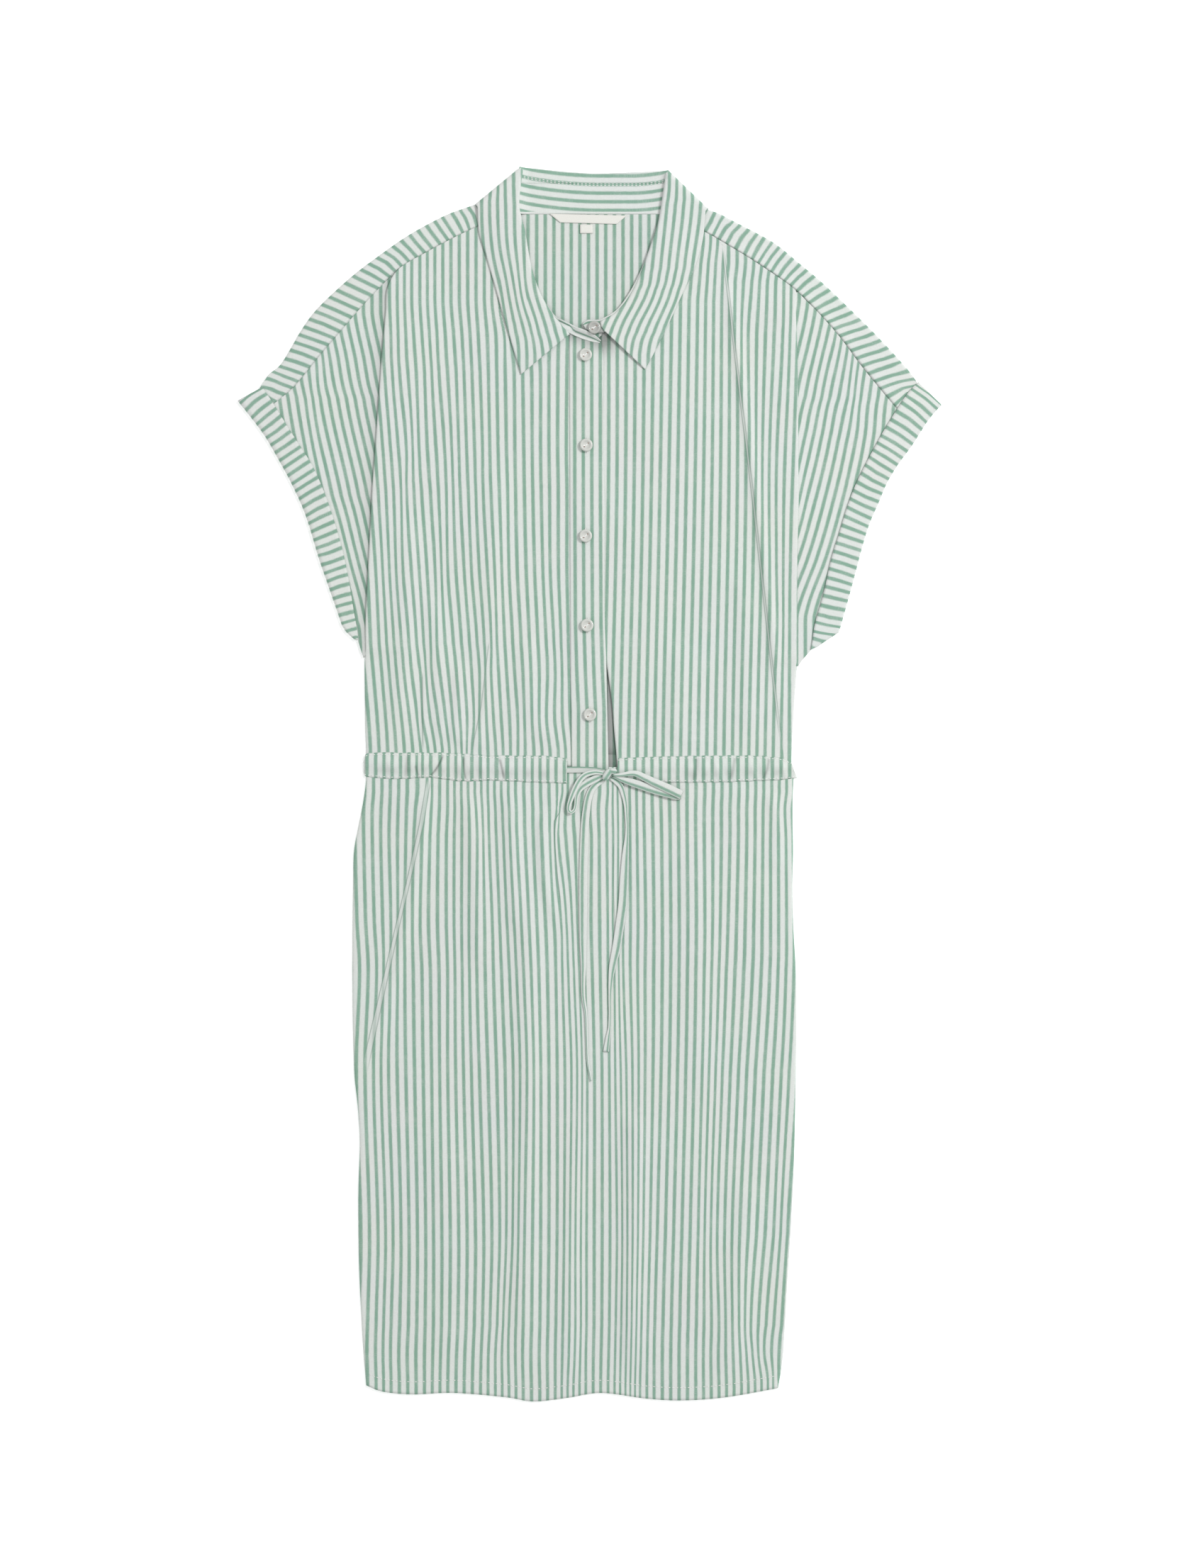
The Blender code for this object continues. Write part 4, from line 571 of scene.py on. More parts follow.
def ridges(folds, x, y):
    """Height of soft ridges at places."""
    total = np.zeros_like(x, float)
    for fold in folds:
        run_x = fold.x1 - fold.x0
        run_y = fold.y1 - fold.y0
        length = math.hypot(run_x, run_y)
        share = ((x - fold.x0) * run_x + (y - fold.y0) * run_y) / length ** 2
        bow = fold.bow * 4 * share * (1 - share)
        off = (run_x * (y - fold.y0) - run_y * (x - fold.x0)) / length - bow
        ends = ease(share / RIDGE_END) * ease((1 - share) / RIDGE_END)
        total += fold.height * ends * bell(off, 0, fold.width)
    return total


def crease_lines(lines, x, y):
    """Signed distance to the nearest sharp crease, its sign changing from one to the next, and its depth,
    which sets the crease's painted shade.
    """
    places = [along(line, y, "y", "x") for line in lines]
    depths = []
    for line, depth in zip(lines, LINE_DEPTHS):
        top, low = line[0].y, line[-1].y
        start = ease((top - y) / (LINE_START * (top - low)))
        end = ease((y - low) / (LINE_END * (top - low)))
        depths.append(depth * start * end)
    away = x - places[0]
    depth = depths[0]
    for number in range(1, len(lines)):
        sign = -1.0 if number % 2 else 1.0
        nearer = x > (places[number - 1] + places[number]) / 2
        away = np.where(nearer, sign * (x - places[number]), away)
        depth = np.where(nearer, depths[number], depth)
    return away, depth


def near_lines(lines, x, y):
    """Places of a grid drawn towards the sharp creases that they pass."""
    for line in lines:
        off = x - along(line, y, "y", "x")
        start = ease((line[0].y + LINE_EASE - y) / LINE_EASE)
        end = ease((y - line[-1].y + LINE_EASE) / LINE_EASE)
        x = x - LINE_PULL * start * end * off * bell(off, 0, LINE_REACH)
    return x


def gathers(x, y):
    """Uneven small waves where the channel draws the cloth in."""
    away = np.maximum(0.0, np.maximum(y - WAIST_TOP, WAIST_LOW - y))
    wave = 0.5 + 0.5 * np.sin(2 * math.pi * (x + 9 * np.sin(x / 41)) / GATHER_PITCH)
    return GATHER_HEIGHT * wave * ease(away / 12) * np.exp(-away / GATHER_REACH)


def calm(x, y):
    """0 where other pieces lie on the front, 1 where the cloth is free to ripple."""
    waist = ease(np.maximum(y - WAIST_TOP - 1, WAIST_LOW - 1 - y) / 10)
    beside = np.abs(x - MIDDLE_X) - MIDDLE_HALF
    middle = ease(np.where(y > TAIL_END, beside, np.maximum(beside, TAIL_END - y)) / 16)
    collar = np.where(y > COLLAR_END, ease((np.abs(x) - COLLAR_REACH) / 14), 1.0)
    return waist * middle * collar


def front_ripples(x, y):
    """Height of the folds, creases and gathers over the flat front."""
    upper = ridges(BODICE_FOLDS + BODICE_CREASES, x, y)
    lower = ridges(SKIRT_FOLDS + SKIRT_CREASES, x, y)
    return (np.where(y > WAIST_SEAM, upper, lower) + gathers(x, y)) * calm(x, y)


def edge_columns(x, y, inward, top, foot, rolled, radius=ROLL_RADIUS):
    """Points from the flat cloth out over its edge: rolled down to foot, or run out flat."""
    points = []
    for index, degrees in enumerate((0, 30, 60, 90, 90)):
        turn = math.radians(degrees)
        inset = HALF + radius * (1 - math.sin(turn))
        height = foot if index == 4 else top - radius * (1 - math.cos(turn))
        inset = mix(HALF + radius * (1 - index / 4), inset, rolled)
        height = mix(top, height, rolled)
        points.append((x + inward[0] * inset, y + inward[1] * inset, height))
    return points


def split(gaps, step):
    """Places along a run of gaps, each gap cut in equal parts no longer than a step."""
    counts = np.maximum(1, np.ceil(gaps / step)).astype(int)
    parts = [index + np.arange(count) / count for index, count in enumerate(counts)]
    return np.concatenate(parts + [[len(counts)]])


def refined(rows, down, across):
    """Finer grid through coarse rows of points, smooth down the rows, and each point's row and column."""
    coarse = np.array(rows, float)
    steps = split(np.linalg.norm(np.diff(coarse, axis=0), axis=2).max(axis=1), down)
    index = np.minimum(steps.astype(int), len(coarse) - 2)
    share = (steps - index)[:, None, None]
    before = coarse[np.maximum(index - 1, 0)]
    after = coarse[np.minimum(index + 2, len(coarse) - 1)]
    fine = spline(before, coarse[index], coarse[index + 1], after, share)
    places = split(np.linalg.norm(np.diff(coarse, axis=1), axis=2).max(axis=0), across)
    low = np.minimum(places.astype(int), coarse.shape[1] - 2)
    weight = (places - low)[None, :, None]
    points = fine[:, low] * (1 - weight) + fine[:, low + 1] * weight
    return points, steps, places


def stripe_pitch():
    """From one stripe to the next, in millimetres."""
    return settings().pitch / MM


def stripe_numbers(table, x, level):
    """Number of the stripe at each place, from the stripes' places at some levels."""
    pitch = stripe_pitch()
    numbers = np.array(table[0], float)
    levels = np.array([row[0] for row in table[1:]], float)
    rows = []
    for row in table[1:]:
        middles = np.array(row[1:], float)
        order = np.argsort(middles)
        ranks = numbers[order]
        places = middles[order]
        found = np.interp(x, places, ranks)
        sense = 1.0 if ranks[-1] > ranks[0] else -1.0
        found = np.where(x < places[0], ranks[0] + sense * (x - places[0]) / pitch, found)
        found = np.where(x > places[-1], ranks[-1] + sense * (x - places[-1]) / pitch, found)
        rows.append(found)
    stack = np.array(rows)[::-1]
    keys = levels[::-1]
    place = np.clip(np.interp(level, keys, np.arange(len(keys))), 0, len(keys) - 1)
    index = np.minimum(place.astype(int), len(keys) - 2)
    near = [np.take_along_axis(stack, np.clip(index + way, 0, len(keys) - 1)[None], axis=0)[0]
            for way in (-1, 0, 1, 2)]
    return spline(*near, place - index)


def strip_numbers(table, steps, shares):
    """Stripe numbers on a strip that its stripes cross, from the rows at three shares of its width."""
    values = np.array(table, float)
    keys = np.arange(len(values))
    columns = [np.interp(steps, keys, values[:, index]) for index in range(3)]
    near, middle, far = (line[:, None] for line in columns)
    low = near + (middle - near) * (shares[None] - 0.25) / 0.25
    high = middle + (far - middle) * (shares[None] - 0.5) / 0.3
    return np.where(shares[None] < 0.5, low, high)


def painted_shade_near(spot, x, y):
    """Painted shade of the cloth, darker about one spot."""
    return 1 - spot.depth * np.exp(-((x - spot.x) / spot.width) ** 2 - ((y - spot.y) / spot.height) ** 2)


def settings():
    return bpy.context.scene.shirt_dress


def put(obj, slot, *nodes):
    """Set a finished piece in the dress: it rides the body and stands for its solids. Its slot is not used.
    """
    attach(obj, "root")
    if nodes:
        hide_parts(*nodes)
    return obj


def mesh_object(name, shape, *materials):
    """Object of a finished shape, named with hyphens."""
    mesh = bpy.data.meshes.new(name.replace(" ", "-"))
    shape.to_mesh(mesh)
    shape.free()
    for material in materials:
        mesh.materials.append(material)
    mesh.shade_smooth()
    # Every piece carries the shade attribute of painted shade, 1 where none is painted
    painted_shade = mesh.attributes.new("shade", "FLOAT", "POINT")
    painted_shade.data.foreach_set("value", np.ones(len(mesh.vertices), np.float32))
    made = bpy.data.objects.new(mesh.name, mesh)
    bpy.context.scene.collection.objects.link(made)
    return made


def cloth(name, points, numbers, lengths, material, wall=None, **values):
    """Thin wall through a grid of points in millimetres, with its stripes' numbers and lengths as UV map."""
    rows, columns = points.shape[:2]
    shape = bmesh.new()
    uv = shape.loops.layers.uv.new("cloth")
    bmesh.ops.create_grid(shape, x_segments=columns - 1, y_segments=rows - 1, size=1.0)
    shape.verts.ensure_lookup_table()
    flat = points.reshape(-1, 3) * MM
    u = (numbers.reshape(-1) * settings().pitch).tolist()
    v = (lengths.reshape(-1) * MM).tolist()
    for number, vertex in enumerate(shape.verts):
        vertex.co = flat[number]
        for loop in vertex.link_loops:
            loop[uv].uv = (u[number], v[number])
    made = mesh_object(name, shape, material)
    for label, value in values.items():
        held = made.data.attributes.get(label) or made.data.attributes.new(label, "FLOAT", "POINT")
        spread = np.broadcast_to(value, points.shape[:2])
        held.data.foreach_set("value", spread.reshape(-1).astype(np.float32))
    solid = made.modifiers.new("wall", "SOLIDIFY")
    solid.thickness = settings().wall if wall is None else wall
    solid.offset = 0.0
    solid.use_even_offset = False
    return made


def cut_size(points):
    """Width, length and area of the flat cut, in metres."""
    across = np.diff(points, axis=1)
    down = np.diff(points, axis=0)
    width = np.linalg.norm(across, axis=2).sum(axis=1).max() * MM
    length = np.linalg.norm(down, axis=2).sum(axis=0).max() * MM
    normals = np.cross(across[:-1], down[:, :-1])
    area = np.linalg.norm(normals, axis=2).sum() * MM * MM
    return width, length, min(area, width * length)


def declare_sheet(points):
    width, length, area = cut_size(points)
    area = min(max(area, 0.31 * width * length), 0.99 * width * length)


def sheet_piece(name, points, numbers, lengths, held, rests_on, slot="striped_cotton", material=None,
                wall=None, **values):
    """Piece of cloth from its grid, set in the dress."""
    made = cloth(name, points, numbers, lengths, material or cotton(), wall, **values)
    declare_sheet(points)
    return put(made, slot, name.replace(" ", "_"))


# Finishes

YARN_SCALE = (1900.0, 240.0)     # noise of the threads, across and along the stripes, for each metre
WEFT_SCALE = (330.0, 1300.0)
SLUB_SCALE = (90.0, 60.0)
FRAY = 0.07                      # how far the yarn frays a stripe's edge, as a share of the pitch
RIM_REACH = 0.075                # the paler rim beyond that edge, and its softness
RIM_SOFTNESS = 0.055
DYE_UNEVEN = 0.55                # how much weft and slubs change the dye, over its least strength
DYE_LEAST = 0.42
# Colour of a crease's painted shade, as a share of the stripes'
CREASE_SHADE = 0.62               # a crease's colour as a share of the stripes'
CLOTH_BUMP = 0.12
CLOTH_RELIEF = 0.004             # depth of the rumples, and of a plain finish's grain, in metres
GRAIN_RELIEF = 0.0004
# Shown walls of the pieces that are thinner than the dress, in metres
WING_WALL = 0.0008
STAND_WALL = 0.0006
STAND_BACK_WALL = 0.0007
PLACKET_WALL = 0.0009
CHANNEL_WALL = 0.0006
TIE_SHOWN_WALL = 0.0007
LABEL_WALL = 0.0005


def node(tree, kind, inputs=None, **options):
    """One shader node, with its inputs set or linked."""
    made = tree.nodes.new(kind)
    for key, value in options.items():
        setattr(made, key, value)
    for key, value in (inputs or {}).items():
        socket = made.inputs[key]
        if isinstance(value, bpy.types.NodeSocket):
            tree.links.new(value, socket)
        else:
            socket.default_value = value
    return made


def group(name, inputs, outputs):
    """Empty node group with its sockets; returns it, its input node and its output node."""
    tree = bpy.data.node_groups.new(name, "ShaderNodeTree")
    for label, kind in inputs:
        tree.interface.new_socket(label, in_out="INPUT", socket_type=kind)
    for label, kind in outputs:
        tree.interface.new_socket(label, in_out="OUTPUT", socket_type=kind)
    return tree, tree.nodes.new("NodeGroupInput"), tree.nodes.new("NodeGroupOutput")


def math_node(tree, operation, first, second=0.0, third=None, clamp=False):
    inputs = {0: first, 1: second}
    if third is not None:
        inputs[2] = third
    return node(tree, "ShaderNodeMath", inputs, operation=operation, use_clamp=clamp).outputs[0]


def attribute(tree, label):
    return node(tree, "ShaderNodeAttribute", attribute_name=label).outputs["Fac"]


def noise_node(tree, place, scale, output="Fac", **inputs):
    found = {"Vector": place, "Scale": scale, **inputs}
    return node(tree, "ShaderNodeTexNoise", found).outputs[output]


def ramp(tree, value, low, high, start, end, kind="LINEAR"):
    """A value from low to high turned into one from start to end."""
    inputs = {"Value": value, "From Min": low, "From Max": high, "To Min": start, "To Max": end}
    return node(tree, "ShaderNodeMapRange", inputs, interpolation_type=kind).outputs[0]


def blend(tree, factor, first, second, kind="MIX"):
    inputs = {"Factor": factor, 6: first, 7: second}
    return node(tree, "ShaderNodeMix", inputs, data_type="RGBA", blend_type=kind).outputs[2]


def scaled(tree, colour, factor):
    return node(tree, "ShaderNodeVectorMath", {0: colour, "Scale": factor}, operation="SCALE").outputs[0]


def bumped(tree, height, strength, distance):
    inputs = {"Height": height, "Strength": strength, "Distance": distance}
    return node(tree, "ShaderNodeBump", inputs).outputs["Normal"]


def new_material(name):
    """New material with its tree and its shader."""
    made = bpy.data.materials.new(name)
    made.use_nodes = True
    return made, made.node_tree, made.node_tree.nodes["Principled BSDF"]


def woven_stripes():
    """Group: striped cotton from a UV map that holds metres across and along the stripes."""
    found = bpy.data.node_groups.get("Woven stripes")
    if found:
        return found
    tree, given, result = group(
        "Woven stripes",
        [("Light", "NodeSocketColor"), ("Green", "NodeSocketColor"), ("Pitch", "NodeSocketFloat"),
         ("Band", "NodeSocketFloat"), ("Softness", "NodeSocketFloat")],
        [("Color", "NodeSocketColor"), ("Height", "NodeSocketFloat")],
    )
    uv = node(tree, "ShaderNodeUVMap", uv_map="cloth").outputs["UV"]

    def threads(across, down):
        turned = node(tree, "ShaderNodeMapping", {"Vector": uv, "Scale": (across, down, 1.0)})
        inputs = {"Vector": turned.outputs["Vector"], "Scale": 1.0, "Detail": 2.0}
        return node(tree, "ShaderNodeTexNoise", inputs, noise_dimensions="2D").outputs["Fac"]

    def within(value, middle, spread):
        start = math_node(tree, "SUBTRACT", middle, spread)
        end = math_node(tree, "ADD", middle, spread)
        return ramp(tree, value, start, end, 1.0, 0.0, "SMOOTHSTEP")

    yarn = threads(*YARN_SCALE)
    weft = threads(*WEFT_SCALE)
    slub = threads(*SLUB_SCALE)
    u = node(tree, "ShaderNodeSeparateXYZ", {"Vector": uv}).outputs["X"]
    turns = math_node(tree, "DIVIDE", u, given.outputs["Pitch"])
    # The stripes past the long pleat count on from their own table
    past = math_node(tree, "GREATER_THAN", attribute(tree, "past"), 0.0)
    turns = math_node(tree, "MULTIPLY_ADD", attribute(tree, "beyond"), past, turns)
    part = math_node(tree, "FRACT", math_node(tree, "ADD", turns, 0.5))
    away = math_node(tree, "ABSOLUTE", math_node(tree, "SUBTRACT", part, 0.5))
    frayed = math_node(tree, "MULTIPLY_ADD", math_node(tree, "SUBTRACT", yarn, 0.5), FRAY, away)
    half = math_node(tree, "MULTIPLY", given.outputs["Band"], 0.5)
    core = within(frayed, half, given.outputs["Softness"])
    rim = within(frayed, math_node(tree, "ADD", half, RIM_REACH), RIM_SOFTNESS)
    strength = math_node(tree, "MULTIPLY_ADD", math_node(tree, "ADD", weft, slub), DYE_UNEVEN, DYE_LEAST)
    dyed = math_node(tree, "MULTIPLY", core, strength, clamp=True)
    worn = math_node(tree, "MULTIPLY_ADD", rim, 0.2, math_node(tree, "MULTIPLY", dyed, 0.8), clamp=True)
    mixed = blend(tree, worn, given.outputs["Light"], given.outputs["Green"])
    grain = math_node(tree, "ADD", yarn, weft)
    toned = scaled(tree, mixed, ramp(tree, grain, 0.6, 1.4, 0.96, 1.04))
    tree.links.new(toned, result.inputs["Color"])
    tree.links.new(grain, result.inputs["Height"])
    return tree


def striped(name, shade=1.0, band=None):
    """Striped cotton material."""
    found = bpy.data.materials.get(name)
    if found:
        return found
    made, tree, shader = new_material(name)
    kit = settings()
    # A shade below 1 makes a darker copy of the cotton: painted shade
    light_cloth = (*[shade * part for part in kit.light_cloth], 1.0)
    weave = node(tree, "ShaderNodeGroup", node_tree=woven_stripes())
    weave.inputs["Light"].default_value = light_cloth
    weave.inputs["Green"].default_value = (*[shade * part for part in kit.stripe_green], 1.0)
    weave.inputs["Pitch"].default_value = kit.pitch
    weave.inputs["Band"].default_value = kit.band if band is None else band
    weave.inputs["Softness"].default_value = kit.softness
    place = node(tree, "ShaderNodeTexCoord").outputs["Object"]
    rumple = math_node(tree, "MULTIPLY", noise_node(tree, place, 46.0, Detail=3.0, Roughness=0.5), 0.5)
    high = math_node(tree, "MULTIPLY_ADD", weave.outputs["Height"], 0.02, rumple)
    tint = noise_node(tree, place, 22.0, "Color", Detail=1.0)
    soft = blend(tree, 0.045, (1.0, 1.0, 1.0, 1.0), tint)
    coloured = blend(tree, 1.0, weave.outputs["Color"], soft, "MULTIPLY")
    # A pair of sharp creases bounds a fold in plain cloth, and each crease is a dark line of painted shade
    away = attribute(tree, "away")
    inside = math_node(tree, "MULTIPLY", ramp(tree, away, -0.2, 0.5, 0.0, 1.0), attribute(tree, "blank"))
    coloured = blend(tree, inside, coloured, light_cloth)
    dark = ramp(tree, math_node(tree, "ABSOLUTE", away), 0.1, 0.65, 0.9, 0.0)
    crease_shade_colour = (*[part * CREASE_SHADE for part in kit.stripe_green], 1.0)
    coloured = blend(tree, math_node(tree, "MULTIPLY", dark, attribute(tree, "crease")), coloured, crease_shade_colour)
    # The shade attribute darkens the colour where shade is painted
    coloured = scaled(tree, coloured, attribute(tree, "shade"))
    tree.links.new(coloured, shader.inputs["Base Color"])
    tree.links.new(bumped(tree, high, CLOTH_BUMP, CLOTH_RELIEF), shader.inputs["Normal"])
    shader.inputs["Roughness"].default_value = 0.88
    shader.inputs["Specular IOR Level"].default_value = 0.25
    shader.inputs["Sheen Weight"].default_value = 0.08
    return made


def plain(name, colour, roughness=0.8, grain=900.0, spread=0.05, coat=0.0, bump=0.1):
    """Material in one colour with a fine grain in it."""
    found = bpy.data.materials.get(name)
    if found:
        return found
    made, tree, shader = new_material(name)
    place = node(tree, "ShaderNodeTexCoord").outputs["Object"]
    noise = noise_node(tree, place, grain, Detail=3.0)
    toned = scaled(tree, tuple(colour), ramp(tree, noise, 0.25, 0.75, 1 - spread, 1 + spread))
    # The shade attribute darkens the colour where shade is painted
    toned = scaled(tree, toned, attribute(tree, "shade"))
    tree.links.new(toned, shader.inputs["Base Color"])
    tree.links.new(bumped(tree, noise, bump, GRAIN_RELIEF), shader.inputs["Normal"])
    shader.inputs["Roughness"].default_value = roughness
    shader.inputs["Coat Weight"].default_value = coat
    return made


def cotton():
    return striped("striped cotton")


def shaded_inside_cotton():
    # A copy of the cotton a little darker, as painted shade for the inside
    return striped("striped cotton inside", shade=0.96)


def drawstring_cotton():
    return striped("drawstring cotton", band=0.26)


def thread_finish():
    return plain("sewing thread", settings().thread, 0.7, 3000.0, 0.06)


# Forms of the pieces


def body_edge(row):
    return row.outer if row.fold is None else row.fold


def last_fold(table):
    return min(row.level for row in table if row.fold is not None)


def front_rows(table, side):
    """Coarse rows of a front from its outer edge, raised over the sleeve where it folds."""
    columns = 13
    rows = []
    for row in table:
        over_sleeve = row.fold is not None
        outline = body_edge(row)
        beyond = row.level - last_fold(table)
        rolled = 1.0 if over_sleeve or beyond < 0 else 0.0
        rise = mix(1.55, FOLD_RISE, float(ease(beyond / 40))) if over_sleeve else 0.0
        foot = front_height(row.level) + 0.2 if over_sleeve else FOOT
        radius = FOLD_RADIUS if over_sleeve else ROLL_RADIUS
        start = outline - side * (HALF + radius)
        level = front_height(row.level)
        turned = edge_columns(outline, row.level, (-side, 0), level + rise, foot, rolled, radius)
        points = turned[::-1]
        for place in range(1, columns + 1):
            x = mix(start, row.inner, place / columns)
            settle = rise * (1 - float(ease(abs(x - start) / RISE_REACH)))
            points.append((x, row.level, level + settle))
        rows.append(points)
    return rows


def make_front(name, table, side, stripes):
    points, _, places = refined(front_rows(table, side), 4.0, 2.0)
    free = ease((places - ROLL_COLUMNS) / 1.5)[None]
    inner = ease(places[-1] - places)[None]
    x, y = points[..., 0], points[..., 1]
    lines = LEFT_LINES if side < 0 else RIGHT_LINES
    x += (near_lines(lines, x, y) - x) * free * inner
    numbers = stripe_numbers(stripes, x, y)
    points[..., 2] += front_ripples(x, y) * free
    away, depth = crease_lines(lines, x, y)
    extra = {}
    if side > 0:
        pleat = (along(lines[0], y, "y", "x") + along(lines[1], y, "y", "x")) / 2
        extra = {"beyond": stripe_numbers(RIGHT_BEYOND, x, y) - numbers, "past": x - pleat}
    # The throat's painted shadow darkens the front
    return sheet_piece(name, points, numbers, y, "laid", "back bodice", shade=painted_shade_near(THROAT_SHADE, x, y),
                       away=away, crease=depth, blank=depth * ease((x - FRONT_BLANK) / 5), **extra)


def make_sleeve(name, table, stripes):
    rows = [[(mix(row.outer, row.inner, place / 6), row.level, front_height(row.level))
             for place in range(7)] for row in table]
    points, _, _ = refined(rows, 4.0, 2.2)
    x, y = points[..., 0], points[..., 1]
    # Painted shadow of the body's fold, darkest at the fold, on the left sleeve only
    depth = 0.24 if x[0, 0] < 0 else 0.0
    from_fold = np.maximum(0.0, along(SLEEVE_FOLD, y, "y", "x") - x)
    shade = 1 - depth * np.exp(-from_fold / 5.5)
    return sheet_piece(name, points, stripe_numbers(stripes, x, y), y, "laid", "back bodice", shade=shade)


def rail_ends(row):
    """Points of a row on the outer and the inner rail, and the way between them."""
    outer = Vector((row.outer_x, row.outer_y))
    inner = Vector((row.inner_x, row.inner_y))
    return outer, inner, (inner - outer).normalized()


def strip_piece(name, points, numbers, shares, held, rests_on, slot="striped_cotton"):
    """Cuff or shoulder strip, whose weave runs along it."""
    lengths = np.broadcast_to(shares * STRIP_WIDTH, numbers.shape)
    return sheet_piece(name, points, numbers, lengths, held, rests_on, slot)


def make_yoke(name, table, stripes):
    rows = []
    for index, row in enumerate(table):
        outer, inner, inward = rail_ends(row)
        start = outer + inward * ROLL_INSET
        level = front_height(inner.y)
        lap = inner - inward
        points = [(lap.x, lap.y, level - 0.35), (inner.x, inner.y, level + 0.45)]
        points += [(place.x, place.y, front_height(place.y))
                   for place in (inner.lerp(start, share) for share in (0.35, 0.7))]
        rolled = 1.0 if index < len(table) - 2 else 0.0
        foot = float(lift(outer.y)) + FOOT
        points += edge_columns(outer.x, outer.y, inward, front_height(outer.y), foot, rolled)
        rows.append(points)
    points, steps, places = refined(rows, 4.0, 2.2)
    shares = np.interp(places, (0, 1, 2, 3, 4, 7), (1.04, 1.0, 0.68, 0.4, 0.1, 0.0))
    return strip_piece(name, points, strip_numbers(stripes, steps, shares), shares, "folded", "back bodice")


def make_cuff(name, table, side, stripes):
    """Turned-up cuff: its lower layer laps the sleeve's end, its upper layer lies over the fold."""
    rows = []
    upper = FRONT_LEVEL + LAYER
    for row in table:
        outer, inner, inward = rail_ends(row)
        width = (inner - outer).length
        lap = CUFF_LAP + CUFF_LAP_GAP
        end = row is table[0] or row in table[-2:]
        lower = inner - inward * min(lap, width / 2) if end else inner + Vector((side, 0)) * lap
        turn = outer + inward * min(HALF + FOLD_TURN, width / 2)
        crest = outer + inward * min(HALF, width / 4)
        path = [(inner, upper), (inner.lerp(turn, 0.5), upper), (turn, upper),
                (crest, upper - FOLD_TURN), (turn, FRONT_LEVEL), (lower, FRONT_LEVEL)]
        rows.append([(place.x, place.y, height) for place, height in path])
    points, steps, places = refined(rows, 4.0, 3.0)
    shares = np.interp(places, (0, 1, 2, 3, 4, 5), (1.0, 0.53, 0.07, 0.0, -0.07, -0.8))
    numbers = strip_numbers(stripes, steps, np.maximum(shares, -0.1))
    return strip_piece(name, points, numbers, shares, "folded", "sleeve")


def make_cuff_back(name, table, stripes):
    rows = [[(mix(row.inner_x, row.outer_x, share), mix(row.inner_y, row.outer_y, share), HALF)
             for share in (0.0, 0.5, 1.0)] for row in table]
    points, steps, places = refined(rows, 5.0, 4.0)
    shares = np.interp(places, (0, 1, 2), (1.0, 0.5, 0.0))
    numbers = strip_numbers(stripes, steps, shares)
    return strip_piece(name, points, numbers, shares, "laid", "floor", "back_cotton")


def hem_level(x):
    """Level of the hem's smooth edge."""
    line = smooth_route([(*place, 0.0) for place in HEM], 3.0)
    return np.interp(x, [place.x for place in line], [place.y for place in line])


def skirt_outline(level):
    return (float(along(SKIRT, level, "level", "left")) + BACK_INSET,
            float(along(SKIRT, level, "level", "right")) - BACK_INSET)


def make_skirt():
    columns = 30
    rows = []
    for row in SKIRT:
        left = edge_columns(row.left, row.level, (1, 0), FRONT_LEVEL, 0.0, 1.0)
        right = edge_columns(row.right, row.level, (-1, 0), FRONT_LEVEL, 0.0, 1.0)
        start = row.left + ROLL_INSET
        end = row.right - ROLL_INSET
        middle = [(mix(start, end, place / columns), row.level, FRONT_LEVEL) for place in range(1, columns)]
        rows.append(left[::-1] + middle + right)
    points, _, places = refined(rows, 4.0, 2.0)
    x = points[..., 0]
    level = points[..., 1].copy()
    inset = np.minimum(places, places[-1] - places) - ROLL_COLUMNS
    free = ease(inset / 1.5)[None]
    x += (near_lines(SKIRT_LINES[1:], x, level) - x) * free
    numbers = stripe_numbers(SKIRT_STRIPES, x, level)
    points[..., 2] += front_ripples(x, level) * free
    away, depth = crease_lines(SKIRT_LINES, x, level)
    hem = ease((level - SKIRT[-3].level) / (SKIRT[-1].level - SKIRT[-3].level))
    points[..., 1] += hem * (hem_level(x) - HEM_MEAN)
    return sheet_piece("skirt front", points, numbers, points[..., 1], "laid", "back skirt", away=away,
                       crease=depth, blank=depth * ease((SKIRT_BLANK - x) / 5))


SIDES = {-1: (YOKE_LEFT, CUFF_LEFT, FRONT_LEFT), 1: (YOKE_RIGHT, CUFF_RIGHT, FRONT_RIGHT)}


def back_levels():
    levels = [STAND_BACK_LOW - SEAM]
    for yoke_table, cuff_table, front_table in SIDES.values():
        levels += [row.outer_y - SHOULDER_DROP for row in yoke_table]
        levels += [row.inner_y for row in cuff_table]
        levels += [row.level for row in front_table if row.level <= last_fold(front_table)]
    levels = sorted((level for level in levels if WAIST_TOP + 5 < level < STAND_BACK_LOW), reverse=True)
    kept = [levels[0]]
    for level in levels[1:]:
        if kept[-1] - level > ROW_STEP:
            kept.append(level)
    return kept + [WAIST_TOP + SEAM]


def back_outline(level):
    """Both sides of the back bodice at a level, inside whichever piece in front reaches in furthest."""
    edges = []
    for side, (yoke_table, cuff_table, front_table) in SIDES.items():
        reach = [BACK_TOP_HALF if level > STAND_BACK_LOW - 1 else 2 * abs(yoke_table[-1].outer_x)]
        if level > yoke_table[-1].outer_y - SHOULDER_DROP:
            shoulder = abs(float(along(yoke_table, level + SHOULDER_DROP, "outer_y", "outer_x")))
            reach.append(shoulder - SHOULDER_INSET)
        if cuff_table[-1].inner_y - 1 < level < cuff_table[0].inner_y + 1:
            reach.append(abs(float(along(cuff_table, level, "inner_y", "inner_x"))) - CUFF_BACK_GAP)
        if level <= cuff_table[-1].inner_y + 3:
            rows = [Edge(row.outer, row.level) for row in front_table]
            reach.append(abs(float(along(rows, level, "y", "x"))) - BACK_INSET)
        edges.append(side * min(reach))
    return edges


